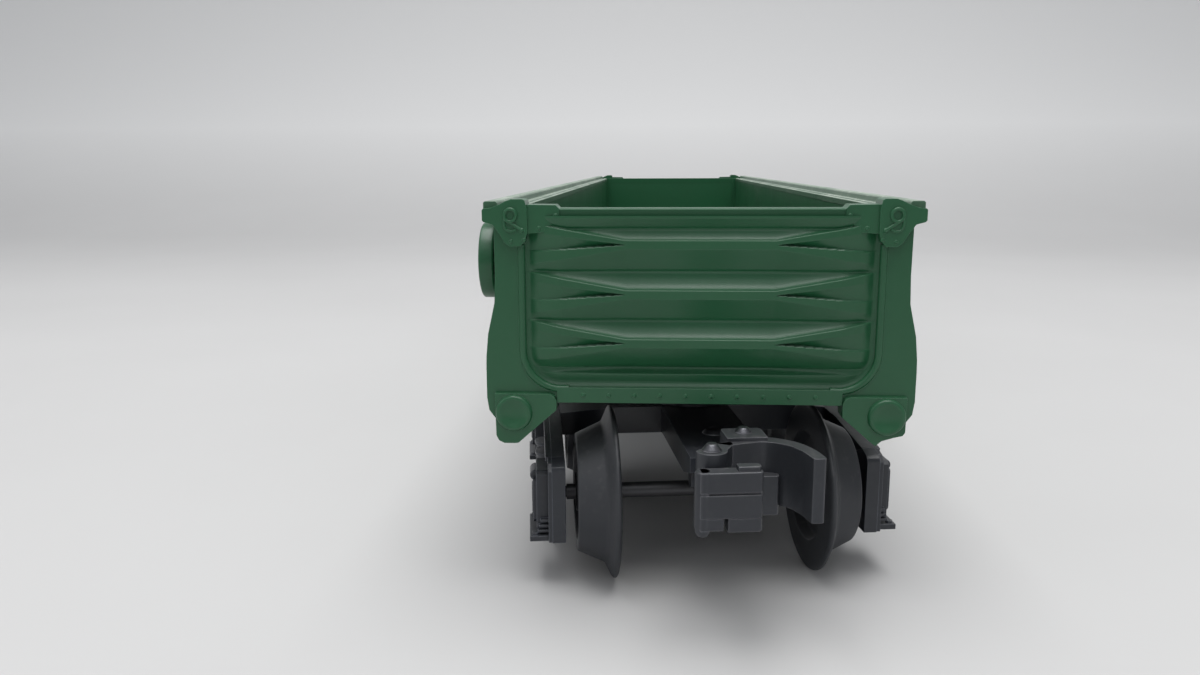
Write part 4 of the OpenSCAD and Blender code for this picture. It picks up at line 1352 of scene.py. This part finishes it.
@dataclass
class Coupler:
    """The knuckle coupler on a truck's tongue.

    Attributes:
        truck: The truck that carries it.
        pad_height: Height of the raised pad on the head.
        head_height: Height of the head under the pad.
    """

    truck: Truck
    pad_height: float = 0.5
    head_height: float = 7.9

    def __post_init__(self) -> None:
        """Finds the head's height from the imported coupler."""
        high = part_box(f"{self.truck.end}_coupler_body")[1]
        self.top = high.z / MM - self.pad_height
        self.base = self.top - self.head_height
        self.x, self.y = self.truck.pin_x, self.truck.pin_y

    def head(self) -> None:
        """Builds the head: throat wall, guard arm, ears, raised pad and shank."""
        form = Mould()
        x, y, top, base = self.x, self.y, self.top, self.base
        wall = [
            (-3.4, 2.6), (-2.1, 3.1), (-1.0, 3.7), (0, 4.2), (1.2, 4.7), (2.3, 4.9), (3.4, 4.75),
            (4.5, 4.3), (5.6, 3.5), (6.6, 2.5), (7.25, 1.4), (7.7, 0.2), (8.0, -0.9), (8.2, -2),
            (8.35, -3.6), (8.3, -4.15), (8.1, -4.3), (7.1, -4.3), (6.85, -4.15), (6.75, -3.8),
            (6.5, -2), (6.3, -1.1), (6, -0.3), (5.7, 0.5), (5.2, 1.2), (4.6, 1.8), (3.9, 2.3),
            (3.1, 2.65), (2.3, 2.8), (0.4, 2.4), (-1.8, 1.7),
        ]
        form.slab(shifted(wall, 0, y), Axis.Z, base, top)
        hub_top, hub_base = top - 2.5, base + 0.5
        ear = [
            *arc(x, y, 1.9, range(180, 361, 10)), (-1.2, y + 2.1), (-1.2, y + 3.3), (-3.4, y + 2.6),
        ]
        form.slab(ear, Axis.Z, hub_top, top)
        form.slab(ear, Axis.Z, base - 0.6, hub_base)
        form.turned(
            [
                (0, base - 1.4), (1.0, base - 1.4), (1.3, base - 1.25), (1.85, base - 0.6),
                (1.85, base - 0.5), (0, base - 0.5),
            ],
            Axis.Z, (x, y, 0), 32,
        )
        form.block((-1.8, y + 3.4, base), (3.3, y + 7.15, top))
        pad = [
            (-1.75, 3.0), (3.25, 3.0), (3.3, 3.3), (3.3, 6.8), (2.9, 7.2), (-1.4, 7.2), (-1.8, 6.8),
            (-1.8, 3.3),
        ]
        form.slab(shifted(pad, 0, y), Axis.Z, top - 0.2, top + self.pad_height)
        form.block((-4.0, y + 3.4, base), (4.0, y + 23.0, base + 2.8))
        form.slab(
            [
                (y + 7.0, base + 2.7), (y + 7.0, top - 0.4), (y + 7.6, top - 0.9),
                (y + 9.0, base + 2.7),
            ],
            Axis.X, -0.7, 0.7,
        )
        form.slab(
            [(1.0, y + 1.2), (4.2, y + 1.2), (4.4, y + 1.4), (4.4, y + 3.6), (1.0, y + 3.6)],
            Axis.Z, base - 1.0, base + 4.0,
        )
        cheek = [(-1.6, 0.1), (-1.0, -2.3), (-0.6, -2.6), (0.6, -2.6), (1.0, -2.3), (1.6, 0.1)]
        for middle in (-3.5, 3.5):
            form.slab(shifted(cheek, y + 16.6, base), Axis.X, middle - 0.4, middle + 0.4)
        end = self.truck.end
        piece = form.cast(f"{end}_coupler_casting", self.truck.place)
        self.truck.shop.fit(piece, COUPLER_BLACK, f"{end}_truck", [f"{end}_coupler_body"], edge=0.2)

    def knuckle(self) -> None:
        """Builds the knuckle: its hub, and the tall nose with a slot, a notch and a rolled edge."""
        form = Mould()
        x, y, top, base = self.x, self.y, self.top, self.base
        low, high = base - 0.85, top - 1.45
        hub_top = top - 2.6
        form.turned(
            [(1.9, base + 0.6), (1.9, hub_top), (0.8, hub_top), (0.8, base + 0.6)], Axis.Z,
            (x, y, 0), 40,
        )
        form.slab(
            [
                (x - 1.9, y), (x - 1.9, y - 2.6), (x + 1.4, y - 2.6), (x + 1.9, y - 0.3),
                (x + 0.9, y + 0.6),
            ],
            Axis.Z, base + 0.6, hub_top,
        )
        nose = [
            (-6.3, -2.1), (-6.3, -4.15), (0.55, -4.2), (0.85, -4.1), (1.05, -3.9), (1.1, -3.6),
            (1.1, -2.8), (0.95, -2.45), (0.5, -2.1),
        ]
        plan = shifted(nose, 0, y)
        shallow = [(a, y + max(b, -3.95)) for a, b in nose]
        form.slab(
            [(a, b) for a, b in plan if a > -3.0] + [(-3.05, y - 2.1), (-3.05, y - 4.17)], Axis.Z,
            low, low + 1.75,
        )
        form.slab(
            [(-6.3, y - 2.1), (-6.3, y - 4.1), (-3.5, y - 4.15), (-3.5, y - 2.1)], Axis.Z,
            low + 0.2, low + 1.75,
        )
        form.slab(plan, Axis.Z, low + 1.7, high - 2.7)
        form.slab(shallow, Axis.Z, high - 2.75, high - 2.45)
        form.slab(plan, Axis.Z, high - 2.5, high)
        form.turned(
            [
                (0, low - 0.7), (0.55, low - 0.7), (0.85, low - 0.3), (1.05, low + 0.6),
                (1.05, high - 0.25), (0.9, high), (0, high),
            ],
            Axis.Z, (-5.85, y - 3.1, 0), 28,
        )
        form.slab(
            [
                (-1.9, y - 2.4), (-1.9, y - 3.9), (0.6, y - 3.9), (0.9, y - 3.6), (0.9, y - 2.7),
                (0.6, y - 2.4),
            ],
            Axis.Z, high - 0.4, high + 0.6,
        )
        name = f"{self.truck.end}_knuckle"
        piece = form.cast(f"{name}_casting", self.truck.place)
        self.truck.shop.fit(piece, COUPLER_BLACK, name, [name], edge=0.16)

    def build(self) -> None:
        """Builds the coupler and dresses its lever and pin."""
        self.head()
        self.knuckle()
        self.truck.dress(("knuckle_pin",), RIVET_STEEL, 0.15)
        self.truck.dress(("uncoupling_lever",), COUPLER_BLACK, 0.15)


# ------------------------------------------------------------------ the studio


@dataclass
class Studio:
    """The pale table, the soft lights and the camera.

    Attributes:
        eye: Camera's place in millimetres.
        turn: Camera's heading in degrees, 0 along +Y and positive to the right.
        tilt: Degrees that it looks down.
        roll: Degrees that it leans.
        lens: Focal length in millimetres on a 36 mm sensor.
    """

    eye: tuple[float, float, float] = (-5.80, -236.38, 58.20)
    turn: float = -3.459
    tilt: float = 10.754
    roll: float = -0.210
    lens: float = 27.483

    def camera(self) -> None:
        """Places the camera."""
        data = bpy.data.cameras.new("studio camera")
        data.lens = self.lens
        data.sensor_width = 36.0
        data.clip_start = 0.005
        data.clip_end = 20.0
        turn, tilt, roll = (math.radians(v) for v in (self.turn, self.tilt, self.roll))
        ahead = Vector(
            (math.sin(turn) * math.cos(tilt), math.cos(turn) * math.cos(tilt), -math.sin(tilt))
        )
        right = Vector((math.cos(turn), -math.sin(turn), 0.0))
        up = right.cross(ahead)
        across = right * math.cos(roll) + up * math.sin(roll)
        upward = up * math.cos(roll) - right * math.sin(roll)
        place = Matrix((across, upward, -ahead)).transposed().to_4x4()
        place.translation = Vector(self.eye) * MM
        camera = bpy.data.objects.new("studio camera", data)
        camera.matrix_world = place
        bpy.context.scene.collection.objects.link(camera)
        bpy.context.scene.camera = camera

    def table_material(self) -> bpy.types.Material:
        """Returns the table's pale, faintly mottled surface, lighter where it sweeps up."""
        material = bpy.data.materials.new("pale table")
        material.use_nodes = True
        tree = material.node_tree
        shader = tree.nodes["Principled BSDF"]
        place = _object_place(tree)
        cloud = _noise(tree, place, 9.0, 6.0)
        tone = _mix(tree, cloud, (0.535, 0.53, 0.525), (0.585, 0.58, 0.575))
        height = _node(tree, "ShaderNodeSeparateXYZ", {0: place}).outputs["Z"]
        swept = _mix(tree, _remap(tree, height, 0.0, 0.1), tone, (0.86, 0.855, 0.845))
        tree.links.new(swept, shader.inputs["Base Color"])
        shader.inputs["Roughness"].default_value = 0.6
        shader.inputs["Specular IOR Level"].default_value = 0.3
        fine = _noise(tree, place, 700.0, 3.0)
        bump = _node(tree, "ShaderNodeBump", {"Strength": 0.3, "Distance": 0.00005, "Height": fine})
        tree.links.new(bump.outputs["Normal"], shader.inputs["Normal"])
        return material

    def table(self) -> None:
        """Builds the table, which sweeps up into the backdrop."""
        form = Mould()
        half_width, foot, bend = 2400.0, 400.0, 900.0
        profile = [(-1500.0, 0.0), (-600.0, 0.0), (0.0, 0.0), (foot, 0.0)]
        profile += [*arc(foot, bend, bend, range(-85, -9, 5)), (1420.0, 2600.0)]
        across, up = stepped(-half_width, half_width, 600.0), list(range(len(profile)))
        form.sheet(across, up, lambda x, k: (x, *profile[int(k)]))
        table = form.cast("studio_table")
        for face in table.data.polygons:
            face.use_smooth = True
        table.data.materials.append(self.table_material())

    def lamp(
        self, name: str, place: Point, aim: Point, size: tuple[float, float], power: float,
    ) -> None:
        """Adds one soft rectangular lamp.

        Args:
            name: The lamp's name.
            place: Its place in millimetres.
            aim: The point that it faces.
            size: Its width and height in millimetres.
            power: Its power in watts.
        """
        data = bpy.data.lights.new(name, "AREA")
        data.shape = "RECTANGLE"
        data.size, data.size_y = size[0] * MM, size[1] * MM
        data.energy = power
        lamp = bpy.data.objects.new(name, data)
        lamp.location = Vector(place) * MM
        lamp.rotation_euler = (Vector(aim) - Vector(place)).to_track_quat("-Z", "Y").to_euler()
        bpy.context.scene.collection.objects.link(lamp)

    def build(self) -> None:
        """Builds the studio."""
        self.camera()
        self.table()
        world = bpy.data.worlds.new("soft room")
        world.use_nodes = True
        tree = world.node_tree
        back = tree.nodes["Background"]
        place = _node(tree, "ShaderNodeTexCoord")
        up = _node(tree, "ShaderNodeSeparateXYZ", {0: place.outputs["Generated"]}).outputs["Z"]
        sky = _mix(tree, _remap(tree, up, 0.05, 0.7), (0.22, 0.225, 0.235), (0.50, 0.515, 0.54))
        tree.links.new(sky, back.inputs["Color"])
        back.inputs["Strength"].default_value = 1.0
        bpy.context.scene.world = world
        self.lamp("overhead softbox", (20, -100, 900), (0, -100, 0), (750, 700), 8.2)
        self.lamp("front softbox", (-60, -800, 900), (0, -119, 40), (1000, 500), 1.0)
        self.lamp("left window", (-900, -350, 500), (0, -60, 30), (700, 500), 0.7)
        bpy.context.scene.view_settings.view_transform = "Standard"


def build_car() -> None:
    """Builds every sub-assembly in order and dresses the nodes that stay."""
    paint = PaintShop()
    shop = Workshop(paint)
    CarBody(shop).build()
    BrakeWheel(shop).build()
    paint.dress(["brake_wheel_pin"], MOULDED_GREEN, 0.05)
    under = (
        "underframe", "centre_sill", "crossbearers", "brake_gear", "front_body_bolster",
        "rear_body_bolster",
    )
    paint.dress(under, UNDERFRAME_BLACK, 0.2)
    paint.dress(["frame_screws"], SCREW_STEEL, 0.06)
    for end in ("front", "rear"):
        Truck(shop, end).build()


def main() -> None:
    """Builds the studio and the car."""
    logging.basicConfig(level=logging.INFO, format="%(message)s")
    Studio().build()
    build_car()


if __name__ == "__main__":
    main()
